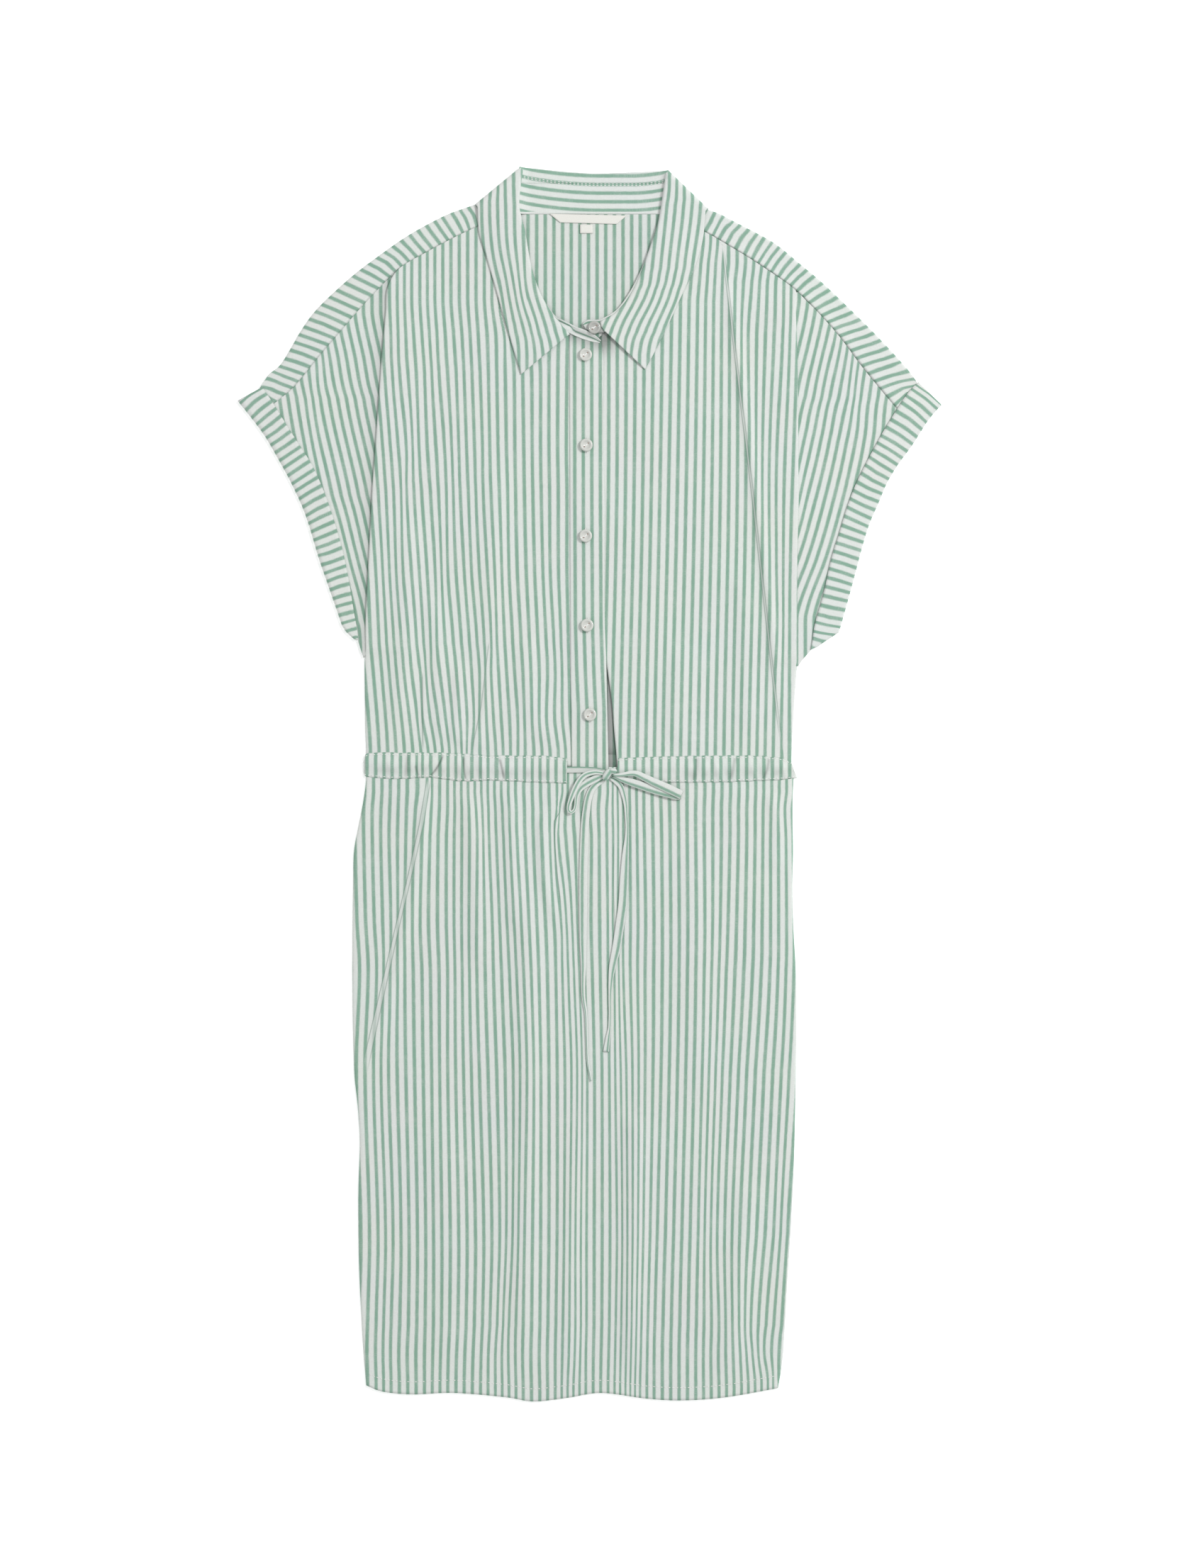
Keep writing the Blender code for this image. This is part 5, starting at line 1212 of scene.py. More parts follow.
def make_back(name, levels, outline, columns):
    rows = []
    for level in levels:
        left, right = outline(level)
        rows.append([(mix(left, right, place / columns), level, HALF + float(lift(level)))
                     for place in range(columns + 1)])
    points, _, _ = refined(rows, 9.0, 8.0)
    x, y = points[..., 0], points[..., 1]
    # Painted shade on the back where it shows between the fronts
    gap = ease((GAP_HALF - np.abs(x - GAP_X)) / 6) * ease((GAP_TOP - y) / 14)
    return sheet_piece(name, points, (x - NECK_STRIPE) / stripe_pitch(), y, "laid", "floor", "back_cotton",
                       shaded_inside_cotton(), shade=1 - 0.47 * gap)


def make_wing(name, table, top, side, stripes):
    """Collar fall on one front, rolling down at its inner edge and at the neck."""
    rows = []

    def section(inner, outer, rise_from, heights):
        run = (outer - inner).normalized()
        over_front = FRONT_LEVEL + LAYER + HALF + 0.4
        foot = mix(float(lift(inner.y)) + 1.7, over_front, float(ease((380 - inner.y) / 12)))
        foot = min(foot, rise_from - 1)
        points = edge_columns(inner.x, inner.y, run, rise_from, foot, 1.0, WING_ROLL)[::-1]
        for share, height in heights:
            place = inner.lerp(outer, share)
            points.append((place.x, place.y, height))
        return points

    for row in table:
        outer, inner, _ = rail_ends(row)
        heights = [(share, FRONT_LEVEL + rise + float(lift(mix(inner.y, outer.y, share))))
                   for share, rise in WING_SECTION[1:]]
        roll = FRONT_LEVEL + WING_SECTION[0][1] + float(lift(inner.y))
        rows.append(section(inner, outer, roll, heights))
    outer, inner, run = rail_ends(top)
    inward = Vector((run.y, -run.x)) if side < 0 else Vector((-run.y, run.x))
    crest = FRONT_LEVEL + 2 * LAYER + LIFT
    for inset, height in ((HALF + WING_TURN, crest), (HALF + WING_TURN * 0.29, crest - WING_TURN * 0.29),
                          (HALF, crest - WING_TURN), (HALF, 0.6)):
        heights = [(share, height) for share, _ in WING_SECTION[1:]]
        rows.append(section(inner + inward * inset, outer + inward * inset, height, heights))
    points, _, _ = refined(rows, 2.5, 2.0)
    points[..., 2] = np.maximum(points[..., 2], 0.5)
    x, y = points[..., 0], points[..., 1]
    return cloth(name, points, stripe_numbers(stripes, x, y), y, cotton(), WING_WALL), points


def neck_rise(x):
    """Rise of the collar's back towards the wings, where it turns over into them."""
    return 3.0 * (ease((COLLAR_BACK_LEFT + 7 - x) / 8) + ease((x + 7 - COLLAR_BACK_RIGHT) / 8))


def make_collar_back():
    """Back of the collar, folded over at its top and dropping behind the dress."""
    rows = []
    top = HALF + LIFT
    for station in range(COLLAR_BACK_STATIONS + 1):
        share = station / COLLAR_BACK_STATIONS
        x = mix(COLLAR_BACK_LEFT, COLLAR_BACK_RIGHT, share)
        roll = float(along(COLLAR_TOP, x, "x", "y"))
        drop_x = mix(COLLAR_DROP[0].x, COLLAR_DROP[-1].x, share)
        drop_y = float(along(COLLAR_DROP, drop_x, "x", "y"))
        turn = roll - HALF - FOLD_TURN
        rows.append([
            (x, STAND_BACK_TOP - COLLAR_TUCK, top - 0.6), (x, mix(STAND_BACK_TOP, turn, 0.4), top),
            (x, turn, top), (x, roll - HALF, HALF + FOLD_TURN), (x, turn, HALF),
            (mix(x, drop_x, 0.5), mix(turn, drop_y, 0.5), HALF), (drop_x, drop_y, HALF),
        ])
    points, _, places = refined(rows, 2.0, 3.0)
    x = points[..., 0]
    points[..., 2] += neck_rise(x) * ease(4.0 - places)[None]
    runs = np.linalg.norm(np.diff(points, axis=1), axis=2)
    lengths = np.concatenate([np.zeros((len(points), 1)), np.cumsum(runs, axis=1)], axis=1)
    numbers = (STAND_BACK_TOP - COLLAR_TUCK + lengths - neck_arch(x) - COLLAR_SEAM) / stripe_pitch()
    return sheet_piece("collar back", points, numbers, x, "folded", "floor")


def make_stand(name, table, swell, spot):
    """Stand under a wing with its end at the throat, its upper edge rolled a little."""
    shares = (0.0, 0.1, 0.25, 0.45, 0.7, 0.9, 1.0)
    rows = [[(mix(row.inner_x, row.outer_x, share), mix(row.inner_y, row.outer_y, share),
              FRONT_LEVEL + LAYER + float(lift(mix(row.inner_y, row.outer_y, share))))
             for share in shares] for row in table]
    points, steps, places = refined(rows, 2.0, 1.2)
    across = np.broadcast_to(np.interp(places, range(len(shares)), shares)[None], points.shape[:2])
    x, y = points[..., 0], points[..., 1]
    free = ease(table_share(table, steps))[:, None]
    tip = ease((x + 16) / 5) * free * (swell > 0.5)
    rail = bell(across, 0.08, 0.09) - 0.7 * bell(across, 0.26, 0.08)
    lens = 1.1 * bell(across, 0, 0.14) + 0.9 * bell(across, 1, 0.12)
    body = 0.8 * bell(across, 0.68, 0.22)
    points[..., 2] += swell * free * mix(rail + body, lens, tip)
    numbers = mix(np.interp(across, (0, 0.2, 0.4, 1), (-0.5, 0.0, 0.5, 0.55)),
                  np.interp(across, (0, 0.3, 0.52, 0.74, 1), (-0.5, -0.5, 0.0, 0.5, 0.5)), tip)
    lengths = np.broadcast_to((steps * 9.0)[:, None], points.shape[:2])
    # Painted shade: darker about the spot, in the dip of the stand's end at the throat, and in a line under
    # its rail
    shade = painted_shade_near(spot, x, y) * (1 - 0.42 * tip * bell(across, 0.48, 0.25))
    shade = shade * (1 - 0.3 * (1 - tip) * (swell > 0.5) * bell(across, 0.26, 0.06))
    made = cloth(name, points, numbers, lengths, cotton(), STAND_WALL, shade=shade)
    return put(made, "striped_cotton", name.replace(" ", "_"))


def table_share(table, steps):
    """1 where a stand lies in the open at the throat, 0 where it is under its wing."""
    open_rows = np.array([1.0 if row.inner_y < STAND_OPEN else 0.0 for row in table])
    return np.interp(steps, np.arange(len(table)), open_rows)


def neck_arch(x):
    """How the stripes of the stand's back rise towards its ends."""
    return 0.00156 * np.maximum(0.0, 10.2 - x) ** 2 + 0.004 * np.maximum(0.0, x - 32.2) ** 2


def make_stand_back():
    """Back of the stand, its inner side up, sewn over the back's neck and into the collar."""
    rows = []
    for y, height in ((STAND_BACK_LOW - 0.9, 0.3), (STAND_BACK_LOW + 0.4, 0.55), (STAND_BACK_LOW + 3.0, 0.3),
                      (mix(STAND_BACK_LOW, STAND_BACK_TOP, 0.5), 0.1), (STAND_BACK_TOP, 0.15)):
        rows.append([(mix(STAND_BACK_LEFT - 2, STAND_BACK_RIGHT + 2, place / 6), y, HALF + LIFT + height)
                     for place in range(7)])
    points, _, _ = refined(rows, 2.0, 3.0)
    x, y = points[..., 0], points[..., 1]
    points[..., 2] += neck_rise(x)
    edge = ease((STAND_BACK_LOW + 1.2 - y) / 1.2)
    numbers = mix((y - neck_arch(x) - COLLAR_SEAM) / stripe_pitch(), -3.5, edge)
    made = sheet_piece("collar stand back", points, numbers, x, "laid", "collar back", wall=STAND_BACK_WALL)
    lines = [[(place, start + float(neck_arch(place)), HALF + LIFT + 0.52 + float(neck_rise(place)))
              for place in np.linspace(-53.0, 59.0, 60)] for start in STAND_STITCHES]
    stitches("collar stand stitches", lines)
    return made


def make_placket():
    """Button band: its left edge runs into the front, and its end goes under the drawstring's strap."""
    low = PLACKET[-1]
    table = PLACKET + (Level(10.8, low.left, low.right),)
    section = ((0.0, 0.45), (0.1, 0.75), (0.3, 1.25), (0.6, 1.5), (0.85, 1.5), (0.97, 1.5), (1.0, 1.25))
    rows = []
    for row in table:
        under = 1.0 if row.level < 12 else 0.0
        top = 1.0 if row is table[0] else 0.0
        points = []
        for share, rise in section:
            height = mix(FRONT_LEVEL + LAYER * rise / 1.5, FRONT_LEVEL + 0.75, max(under, 0.7 * top))
            level = row.level + top * (1.5 + 8.5 * (1 - share))
            points.append((mix(row.left, row.right, share), level, height))
        rows.append(points)
    points, _, _ = refined(rows, 4.0, 2.0)
    x, y = points[..., 0], points[..., 1]
    numbers = (x - along(PLACKET_STRIPES, y, "y", "x")) / EDGE_PITCH
    points[..., 2] += 0.35 * np.sin(y / 23) * ease((x + 12) / 10) * ease((y - 20) / 20)
    # Painted shadow under the collar's flap at the top, and above the drawstring's strap at the foot
    flap = y - (344.5 + 0.35 * (8 - x))
    shade = 1 - 0.42 * ease((flap + 14) / 12) - 0.15 * ease((17 - y) / 5)
    return sheet_piece("placket band", points, numbers, y, "laid", "front right", wall=PLACKET_WALL,
                       shade=shade)


def make_channel(name, table, middles):
    """Length of the channel, sewn down at both edges and rounded over the drawstring in it."""
    shares = (0.0, 0.04, 0.1, 0.25, 0.5, 0.75, 0.9, 0.96, 1.0)
    level = FRONT_LEVEL + HALF + 0.45
    rows = [[(mix(row.outer_x, row.inner_x, across), mix(row.outer_y, row.inner_y, across), level)
             for across in shares] for row in table]
    points, _, places = refined(rows, 0.8, 1.0)
    x = points[..., 0]
    across = np.interp(places, range(len(shares)), shares)[None]
    up = 1 - across if table[0].outer_y > table[0].inner_y else across
    free = np.sin(math.pi * np.clip((across - 0.04) / 0.92, 0, 1)) ** 0.5
    bulge = 1.25 * bell(up, 0.62, 0.24) + 0.25 * bell(up, 0.2, 0.12)
    ripple = np.sin(2 * math.pi * (x + 5 * np.sin(x / 17) + 3 * np.sin(x / 7.3)) / CHANNEL_WAVE)
    near = np.where(x > 0, ease((x - 62) / 16), ease((-x - 24) / 12))
    puckers = ridges(CHANNEL_PUCKERS, x, points[..., 1])
    points[..., 2] += free * (0.2 + bulge * (1 + 0.25 * ripple * near) + puckers)
    points[..., 1] += 0.3 * ripple * near * np.where(across > 0.5, 1.0, -0.6) * (1 - free)
    outer_end = np.minimum(np.abs(x - table[0].outer_x), np.abs(x - table[-1].outer_x))
    outline = ease(np.where(np.abs(x) > CHANNEL_OUTER, outer_end, 9.0) / 1.8)
    points[..., 2] = mix(1.5, points[..., 2], outline)
    points[..., 2] -= 0.75 * (1 - ease(np.minimum(across, 1 - across) / 0.05))
    # Painted shade along a trough in the lower third, uneven with the ripple, and in the puckers' creases
    shade = 1 - 0.16 * near * bell(up, 0.3, 0.14) * (0.6 + 0.4 * ripple)
    shade = shade - 0.4 * np.clip(-puckers, 0, 1)
    order = np.sort(np.array(middles))
    order = np.concatenate([order[0] + EDGE_PITCH * np.arange(-3, 0), order,
                            order[-1] + EDGE_PITCH * np.arange(1, 4)])
    numbers = np.interp(x, order, np.arange(len(order)))
    made = sheet_piece(name, points, numbers, points[..., 1], "gathered", "front", wall=CHANNEL_WALL,
                       shade=shade)
    lines = []
    for place in (0.07, 0.93):
        column_at = int(np.argmin(np.abs(across[0] - place)))
        lines.append([tuple(point + np.array((0, 0, 0.42))) for point in points[:, column_at]])
    stitches(f"{name} stitches", lines)
    return made


def make_channel_back():
    left, right = skirt_outline(SKIRT[0].level)
    rows = [[(mix(left, right, place / 6), y, HALF + rise) for place in range(7)]
            for y, rise in ((WAIST_LOW - 1.2, -0.3), (WAIST_LOW - 0.5, 0.15), (WAIST_TOP + 0.5, 0.15),
                            (WAIST_TOP + 1.2, -0.3))]
    points, _, _ = refined(rows, 8.0, 8.0)
    numbers = (points[..., 0] - NECK_STRIPE) / stripe_pitch()
    # Painted shade: the channel's back shows only between the fronts, darkened to half
    return sheet_piece("waist channel back", points, numbers, points[..., 1], "laid", "floor", "back_cotton",
                       shaded_inside_cotton(), shade=0.5)


def smooth_route(points, step):
    """Points of a smooth curve through a route, about one step apart."""
    vectors = [Vector(point) for point in points]
    padded = [2 * vectors[0] - vectors[1]] + vectors + [2 * vectors[-1] - vectors[-2]]
    route = []
    for index in range(1, len(padded) - 2):
        before, start, end, after = padded[index - 1:index + 3]
        count = max(1, round((end - start).length / step))
        route += [spline(before, start, end, after, part / count) for part in range(count)]
    route.append(vectors[-1])
    return route


def make_tie(name, route, lean, swell=0.35, shade=1.0):
    """Flat drawstring length with rounded edges along a route, turning or folding with it."""
    line = smooth_route([bend[:3] for bend in route], 1.4)
    widths = [bend.width for bend in route]
    marks = np.cumsum([0] + [(Vector(b[:3]) - Vector(a[:3])).length for a, b in zip(route, route[1:])])
    lengths = np.cumsum([0] + [(b - a).length for a, b in zip(line, line[1:])])
    spread = np.interp(lengths / lengths[-1], marks / marks[-1], widths)
    shares = (1.0, 0.85, 0.5, 0.0, -0.5, -0.85, -1.0)
    across = None
    rows = []
    for index, point in enumerate(line):
        ahead = line[min(index + 1, len(line) - 1)] - line[max(index - 1, 0)]
        turned = Vector((-ahead.y, ahead.x, 0))
        if across is None or turned.length > 0.6 * ahead.length:
            turned.normalize()
            across = -turned if across is not None and turned.dot(across) < 0 else turned
        half = across * (spread[index] / 2)
        rows.append([point + half * share + Vector((0, 0, swell * (1 - share * share))) for share in shares])
    points = np.array([[tuple(point) for point in row] for row in rows])
    numbers = np.broadcast_to(np.array(shares)[None] * 0.42 + lean, points.shape[:2])
    along_line = np.broadcast_to(lengths[:, None], points.shape[:2])
    made = cloth(name, points, numbers, along_line, drawstring_cotton(), TIE_SHOWN_WALL, shade=shade)
    return put(made, "drawstring_cloth", name.replace(" ", "_"))


def moved(x, y, z):
    """Move by millimetres."""
    return Matrix.Translation((x * MM, y * MM, z * MM))


def ball(shape, segments, rings, matrix):
    return bmesh.ops.create_uvsphere(shape, u_segments=segments, v_segments=rings, radius=1.0, matrix=matrix)


def ball_size(long, wide, high):
    """Half sizes of a ball in millimetres."""
    return Matrix.Diagonal((long * MM, wide * MM, high * MM, 1))


def make_knot():
    """Knot of two lobes, one wrapped across the other."""
    shape = bmesh.new()
    uv = shape.loops.layers.uv.new("cloth")
    for lobe in KNOT:
        turn = moved(lobe.x, lobe.y, lobe.z) @ Matrix.Rotation(math.radians(lobe.degrees), 4, "Z")
        for vertex in ball(shape, 28, 16, Matrix.Identity(4))["verts"]:
            x, y, z = vertex.co
            pinch = 1 + 0.07 * math.sin(4 * y + 1.5 * x)
            for loop in vertex.link_loops:
                loop[uv].uv = ((0.36 * y + 0.1) * settings().pitch, x * 0.005)
            square = 1 + 0.12 * math.sin(math.pi * min(1.0, abs(x))) ** 2
            sizes = (x * lobe.long, y * lobe.wide * square, z * pinch * lobe.high)
            vertex.co = turn @ Vector([size * MM for size in sizes])
    made = mesh_object("drawstring knot", shape, drawstring_cotton())
    return put(made, "drawstring_cloth", "drawstring_knot")


def make_button(number, place, base, shade=1.0):
    """Turned pearl button with two holes and its thread."""
    profile = ((0.0, 0.62), (0.56, 0.62), (0.66, 0.95), (0.78, 1.0), (0.9, 0.95), (1.0, 0.7), (1.0, 0.4),
               (0.8, 0.0), (0.0, 0.0))
    shape = bmesh.new()
    corners = [shape.verts.new((reach * BUTTON_RADIUS * MM, 0, height * BUTTON_DEPTH * MM))
               for reach, height in profile]
    edges = [shape.edges.new(pair) for pair in zip(corners, corners[1:])]
    bmesh.ops.spin(shape, geom=corners + edges, angle=2 * math.pi, steps=40, axis=(0, 0, 1), cent=(0, 0, 0),
                   use_merge=True)
    bmesh.ops.remove_doubles(shape, verts=shape.verts, dist=1e-6)
    bmesh.ops.recalc_face_normals(shape, faces=shape.faces)
    bmesh.ops.translate(shape, verts=shape.verts, vec=(place.x * MM, place.y * MM, base * MM))
    name = f"button {number}"
    made = mesh_object(name, shape, plain("pearl button", settings().pearl, 0.28, 160.0, 0.03, 0.4, 0.03))
    painted_shade = made.data.attributes["shade"]
    painted_shade.data.foreach_set("value", np.full(len(made.data.vertices), shade, np.float32))
    put(made, "pearl_button", name.replace(" ", "_"))
    face = base + BUTTON_DEPTH * 0.62
    holes = bmesh.new()
    for way in (-1, 1):
        turn = moved(place.x + way * 1.45, place.y + way * 1.3, face + 0.03)
        bmesh.ops.create_cone(holes, cap_ends=True, segments=14, radius1=0.62 * MM, radius2=0.55 * MM,
                              depth=0.1 * MM, matrix=turn)
    dark = plain("button hole shade", (0.33, 0.24, 0.20), 0.9)
    put(mesh_object(f"{name} holes", holes, dark), "pearl_button")
    thread = bmesh.new()
    turn = moved(place.x, place.y, face + 0.1) @ Matrix.Rotation(0.73, 4, "Z")
    ball(thread, 14, 8, turn @ ball_size(1.75, 0.5, 0.3))
    put(mesh_object(f"{name} thread", thread, thread_finish()), "pearl_button")


def make_buttonhole(number, place):
    """Upright stitched buttonhole under a button."""
    shape = bmesh.new()
    for way in (-1, 1):
        turn = moved(place.x + 0.2 + way * 0.55, place.y, BUTTON_TOP_LEVEL)
        ball(shape, 8, 12, turn @ ball_size(0.5, 6.6, 0.3))
    put(mesh_object(f"buttonhole {number}", shape, thread_finish()), "striped_cotton")


def make_label(name, corners, base):
    left_top, right_top, right_low, left_low = corners
    rows = [[(mix(left.x, right.x, share), mix(left.y, right.y, share), base)
             for share in (0.0, 0.25, 0.5, 0.75, 1.0)]
            for left, right in ((left_low, right_low), (left_top, right_top))]
    points, _, _ = refined(rows, 2.0, 2.0)
    tape = plain("label tape", settings().label, 0.6, 1400.0, 0.03)
    made = cloth(name, points, points[..., 0] / LABEL_PITCH, points[..., 1], tape, LABEL_WALL)
    return put(made, "label_cloth", name.replace(" ", "_"))


def stitches(name, lines):
    """Rows of short stitches along lines of points, as one piece."""
    kit = settings()
    size = Matrix.Diagonal((kit.stitch_length / 2, kit.stitch_width / 2, kit.stitch_width / 3, 1))
    shape = bmesh.new()
    for line in lines:
        points = [Vector(point) * MM for point in line]
        carried = 0.0
        for start, end in zip(points, points[1:]):
            run = end - start
            turn = run.to_track_quat("X", "Z").to_matrix().to_4x4()
            while carried < run.length:
                middle = start + run.normalized() * carried
                ball(shape, 6, 4, Matrix.Translation(middle) @ turn @ size)
                carried += kit.stitch_pitch
            carried -= run.length
    return put(mesh_object(name, shape, thread_finish()), "striped_cotton")


def light(name, energy, place, size):
    """Round soft light aimed at the middle of the dress."""
    data = bpy.data.lights.new(name, "AREA")
    data.energy = energy
    data.shape = "DISK"
    data.size = size
    made = bpy.data.objects.new(name, data)
    bpy.context.scene.collection.objects.link(made)
    made.location = place
    made.rotation_euler = (-Vector(place)).to_track_quat("-Z", "Y").to_euler()
    return made


# The add-on's settings, operators and panel


def colour_setting(name, description, default):
    return bpy.props.FloatVectorProperty(
        name=name, description=description, subtype="COLOR", default=default, min=0, max=1)


def number_setting(name, description, default, least, **options):
    return bpy.props.FloatProperty(
        name=name, description=description, default=default, min=least, **options)


def length_setting(name, description, default, least, **options):
    return number_setting(name, description, default, least, unit="LENGTH", **options)


class DressSettings(bpy.types.PropertyGroup):
    """Sizes and colours of the dress."""
    light_cloth: colour_setting(
        "White cotton", "Colour of the cloth between the stripes", (0.745, 0.78, 0.75))
    stripe_green: colour_setting("Stripe", "Colour of the woven stripes", (0.25, 0.42, 0.325))
    thread: colour_setting("Thread", "Colour of the sewing thread", (0.86, 0.86, 0.84))
    pearl: colour_setting("Buttons", "Colour of the pearl buttons", (0.66, 0.67, 0.63))
    label: colour_setting("Label", "Colour of the bare neck label", (0.80, 0.795, 0.745))
    pitch: length_setting("Stripe pitch", "From one stripe to the next", 0.0067, 0.002)
    band: number_setting(
        "Stripe share", "Share of the pitch that is green", 0.38, 0.1, max=0.9, subtype="FACTOR")
    softness: number_setting(
        "Stripe softness", "How far a stripe's edge fades, as a share of the pitch", 0.085, 0.01,
        max=0.3, subtype="FACTOR")
    wall: length_setting("Cloth", "Thickness of the shown cloth", 0.001, 0.0003, max=0.0012)
    tie_width: length_setting("Drawstring width", "Width of the flat drawstring", 0.0046, 0.003)
    stitch_length: length_setting("Stitch", "Length of one stitch", 0.0021, 0.001)
    stitch_pitch: length_setting("Stitch pitch", "From one stitch to the next", 0.003, 0.0015)
    stitch_width: length_setting("Thread width", "Width of a stitch", 0.0006, 0.0002)
    lens: number_setting("Lens", "Focal length of the camera in millimetres", 85.0, 20.0)
    field: length_setting("Field", "Height of the picture at the dress", 1.2166, 0.3)


class Maker:
    """Shared options of the operators."""
    bl_options = {"REGISTER", "UNDO"}


class DRESS_OT_stage(Maker, bpy.types.Operator):
    """Make the camera, the lights and the pale floor"""
    bl_idname = "dress.stage"
    bl_label = "Camera, lights and floor"

    def execute(self, context):
        kit = settings()
        data = bpy.data.cameras.new("camera")
        data.lens = kit.lens
        data.sensor_fit = "VERTICAL"
        data.sensor_height = 36.0
        camera = bpy.data.objects.new("camera", data)
        bpy.context.scene.collection.objects.link(camera)
        camera.location = (0, 0, kit.lens * kit.field / data.sensor_height + 0.003)
        bpy.context.scene.camera = camera
        shape = bmesh.new()
        bmesh.ops.create_grid(shape, x_segments=1, y_segments=1, size=2.5)
        bmesh.ops.translate(shape, verts=shape.verts, vec=(0, 0, -0.0002))
        pale = plain("pale floor", (0.96, 0.96, 0.96), 0.9, 30.0, 0.004)
        pale.node_tree.nodes["Principled BSDF"].inputs["Emission Strength"].default_value = 0.35
        mesh_object("floor", shape, pale)
        light("window light", 62.0, (1.9, 1.3, 2.7), 0.9)
        light("room light", 6.0, (-1.6, -1.0, 2.4), 2.2)
        world = bpy.data.worlds.new("soft room")
        world.use_nodes = True
        background = world.node_tree.nodes["Background"]
        background.inputs["Color"].default_value = (1, 1, 1, 1)
        background.inputs["Strength"].default_value = 0.58
        bpy.context.scene.world = world
        bpy.context.scene.view_settings.view_transform = "Standard"
        return {"FINISHED"}


class DRESS_OT_drawstring(Maker, bpy.types.Operator):
    """Make the drawstring's strap, loops, tails and knot"""
    bl_idname = "dress.drawstring"
    bl_label = "Drawstring"

    def execute(self, context):
        make_tie("drawstring tail left", TAIL_LEFT, 0.12, 0.2)
        make_tie("drawstring tail right", TAIL_RIGHT, -0.16, 0.2)
        make_tie("drawstring loop left", LOOP_LEFT, 0.03)
        make_tie("drawstring loop right", LOOP_RIGHT, 0.2)
        # The strap under the bow is darkened by painted shade
        make_tie("drawstring strap", STRAP, -0.38, swell=0.1, shade=0.88)
        make_knot()
        return {"FINISHED"}


class DRESS_OT_back(Maker, bpy.types.Operator):
    """Make the back bodice, the back skirt and the back of the channel"""
    bl_idname = "dress.back"
    bl_label = "Back"

    def execute(self, context):
        make_back("back bodice", back_levels(), back_outline, 5)
        levels = [WAIST_LOW - SEAM] + [row.level for row in SKIRT[2:-1]] + [BACK_HEM]
        make_back("back skirt", levels, skirt_outline, 4)
        make_channel_back()
        return {"FINISHED"}


class DRESS_OT_fronts(Maker, bpy.types.Operator):
    """Make both fronts, the cap sleeves and the shoulder strips"""
    bl_idname = "dress.fronts"
    bl_label = "Fronts and sleeves"

    def execute(self, context):
        make_front("front left", FRONT_LEFT, -1, LEFT_STRIPES)
        make_front("front right", FRONT_RIGHT, 1, RIGHT_STRIPES)
        make_sleeve("sleeve left", SLEEVE_LEFT, LEFT_SLEEVE_STRIPES)
        make_sleeve("sleeve right", SLEEVE_RIGHT, RIGHT_SLEEVE_STRIPES)
        make_yoke("yoke left", YOKE_LEFT, YOKE_LEFT_STRIPES)
        make_yoke("yoke right", YOKE_RIGHT, YOKE_RIGHT_STRIPES)
        return {"FINISHED"}


class DRESS_OT_cuffs(Maker, bpy.types.Operator):
    """Make the turned-up cuffs"""
    bl_idname = "dress.cuffs"
    bl_label = "Cuffs"

    def execute(self, context):
        make_cuff("cuff left front", CUFF_LEFT, -1, CUFF_LEFT_STRIPES)
        make_cuff("cuff right front", CUFF_RIGHT, 1, CUFF_RIGHT_STRIPES)
        make_cuff_back("cuff left back", CUFF_LEFT, CUFF_LEFT_STRIPES)
        make_cuff_back("cuff right back", CUFF_RIGHT, CUFF_RIGHT_STRIPES)
        return {"FINISHED"}


class DRESS_OT_skirt(Maker, bpy.types.Operator):
    """Make the front of the skirt"""
    bl_idname = "dress.skirt"
    bl_label = "Skirt"

    def execute(self, context):
        make_skirt()
        return {"FINISHED"}


class DRESS_OT_collar(Maker, bpy.types.Operator):
    """Make the collar, its stand and the labels in its neck"""
    bl_idname = "dress.collar"
    bl_label = "Collar"

    def execute(self, context):
        make_collar_back()
        make_stand_back()
        # Each stand has a spot of painted shadow in the throat
        for side, name, table, top, stripes, stand_table, swell, spot in (
                (-1, "left", WING_LEFT, WING_TOP_LEFT, LEFT_WING_STRIPES, STAND_LEFT, 0.9,
                 Shade(-28.0, 360.0, 9.0, 6.0, 0.25)),
                (1, "right", WING_RIGHT, WING_TOP_RIGHT, RIGHT_WING_STRIPES, STAND_RIGHT, 0.3,
                 Shade(8.0, 351.0, 12.0, 7.0, 0.42))):
            stand = make_stand(f"collar stand {name}", stand_table, swell, spot)
            fall, points = make_wing(f"collar wing {name}", table, top, side, stripes)
            put(fall, "striped_cotton", f"collar_wing_{name}")
            declare_sheet(points)
        label_base = HALF + LIFT + HALF + SEAM + 0.25
        make_label("neck label", LABEL, label_base)
        make_label("size tab", TAB, label_base)
        return {"FINISHED"}


class DRESS_OT_placket(Maker, bpy.types.Operator):
    """Make the button placket"""
    bl_idname = "dress.placket"
    bl_label = "Placket"

    def execute(self, context):
        make_placket()
        return {"FINISHED"}


class DRESS_OT_channel(Maker, bpy.types.Operator):
    """Make the drawstring channel across the front"""
    bl_idname = "dress.channel"
    bl_label = "Waist channel"

    def execute(self, context):
        make_channel("waist channel left", CHANNEL_LEFT, CHANNEL_LEFT_STRIPES)
        make_channel("waist channel right", CHANNEL_RIGHT, CHANNEL_RIGHT_STRIPES)
        return {"FINISHED"}


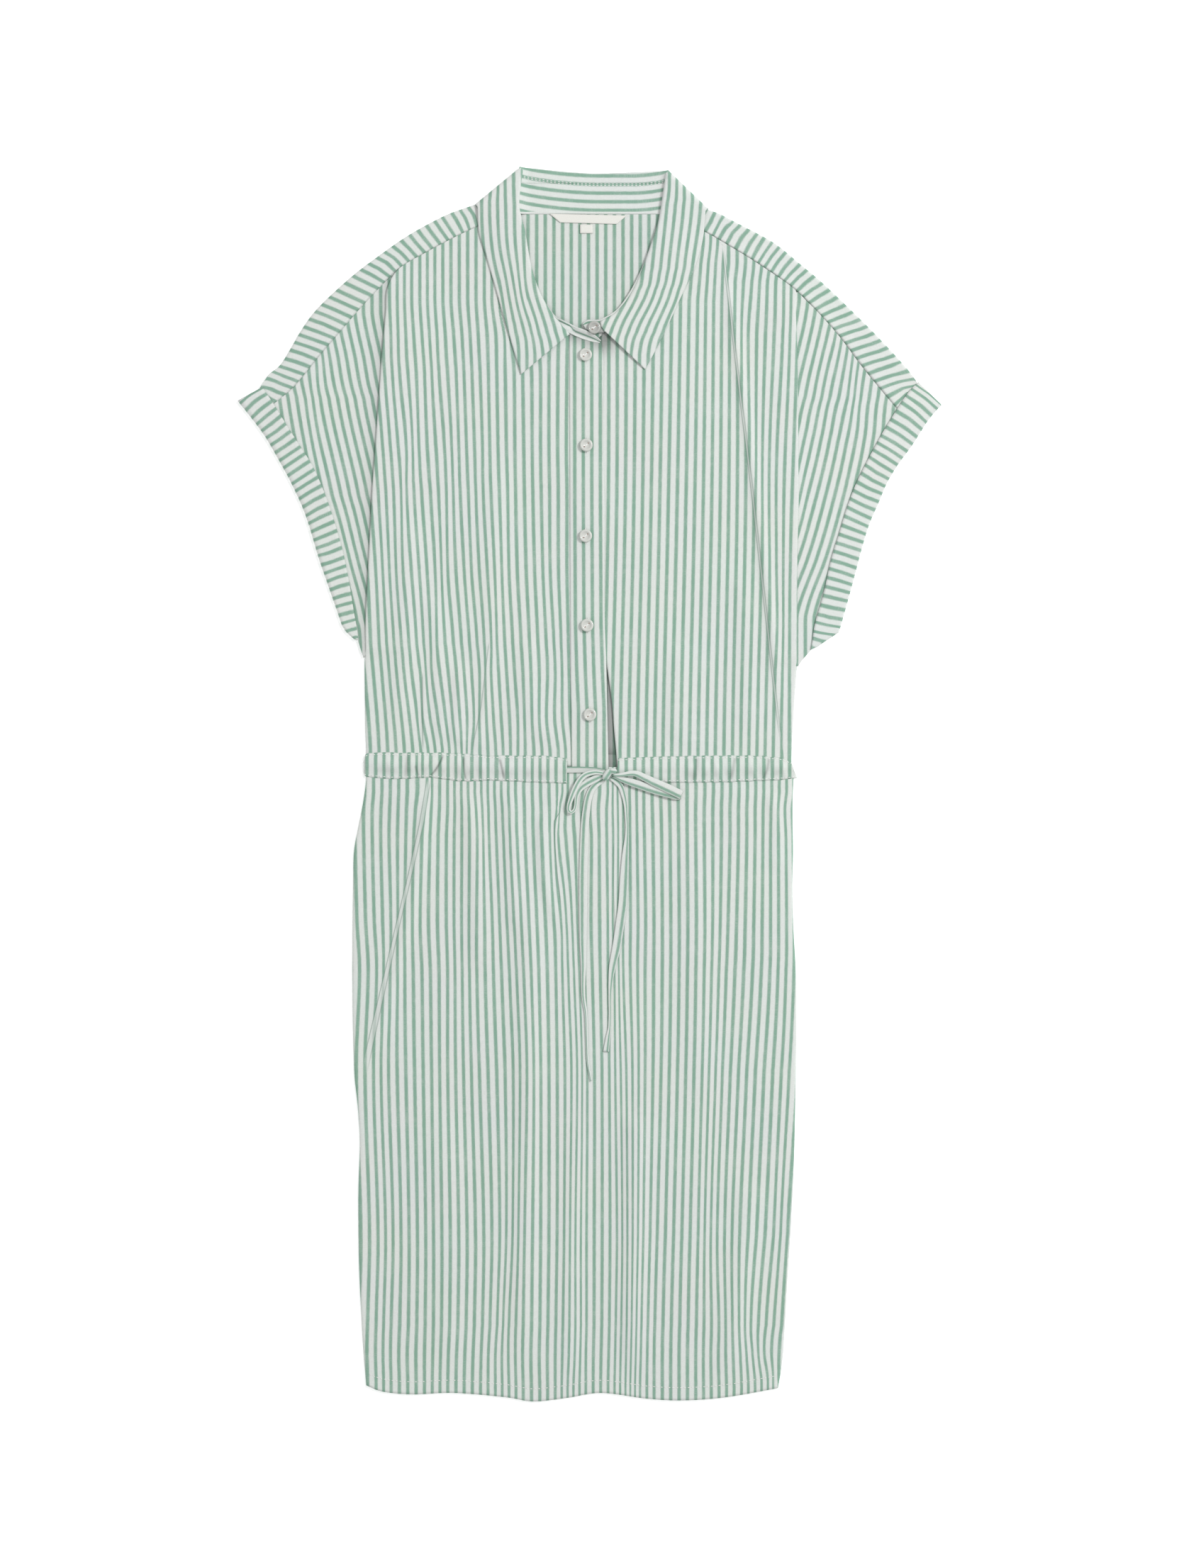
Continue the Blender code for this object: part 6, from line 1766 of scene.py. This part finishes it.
class DRESS_OT_buttons(Maker, bpy.types.Operator):
    """Make the buttons with their holes and thread"""
    bl_idname = "dress.buttons"
    bl_label = "Buttons"

    def execute(self, context):
        for number, place in enumerate(BUTTON_PLACES, start=1):
            make_button(number, place, BUTTON_TOP_LEVEL)
            make_buttonhole(number, place)
        base = BUTTON_TOP_LEVEL + float(lift(STAND_BUTTON.y + BUTTON_RADIUS))
        # The stand's button lies in the throat's shade, painted into its colour
        make_button("stand", STAND_BUTTON, base, 0.72)
        return {"FINISHED"}


class DRESS_OT_stitching(Maker, bpy.types.Operator):
    """Make the rows of stitches"""
    bl_idname = "dress.stitching"
    bl_label = "Stitching"

    def execute(self, context):
        hem = [(x, float(hem_level(x)) + HEM_DEPTH,
                FRONT_LEVEL + HALF + 0.05 + float(front_ripples(np.array(x), np.array(HEM_MEAN + 12))))
               for x in np.linspace(*HEM_STITCHES, 120)]
        stitches("hem stitches", [hem])
        return {"FINISHED"}


OPERATORS = (
    DRESS_OT_stage, DRESS_OT_drawstring, DRESS_OT_back, DRESS_OT_fronts, DRESS_OT_cuffs, DRESS_OT_skirt,
    DRESS_OT_collar, DRESS_OT_placket, DRESS_OT_channel, DRESS_OT_buttons, DRESS_OT_stitching,
)


class DRESS_PT_pieces(bpy.types.Panel):
    """Settings and pieces of the dress."""
    bl_idname = "DRESS_PT_pieces"
    bl_label = "Shirt dress"
    bl_space_type = "VIEW_3D"
    bl_region_type = "UI"
    bl_category = "Dress"

    def draw(self, context):
        for name in DressSettings.__annotations__:
            self.layout.prop(context.scene.shirt_dress, name)
        for operator in OPERATORS:
            self.layout.operator(operator.bl_idname)


CLASSES = (DressSettings, *OPERATORS, DRESS_PT_pieces)


def register():
    for kind in CLASSES:
        bpy.utils.register_class(kind)
    bpy.types.Scene.shirt_dress = bpy.props.PointerProperty(type=DressSettings)


def unregister():
    del bpy.types.Scene.shirt_dress
    for kind in reversed(CLASSES):
        bpy.utils.unregister_class(kind)


def main():
    register()
    for operator in OPERATORS:
        group_name, name = operator.bl_idname.split(".")
        getattr(getattr(bpy.ops, group_name), name)()


if __name__ == "__main__":
    main()
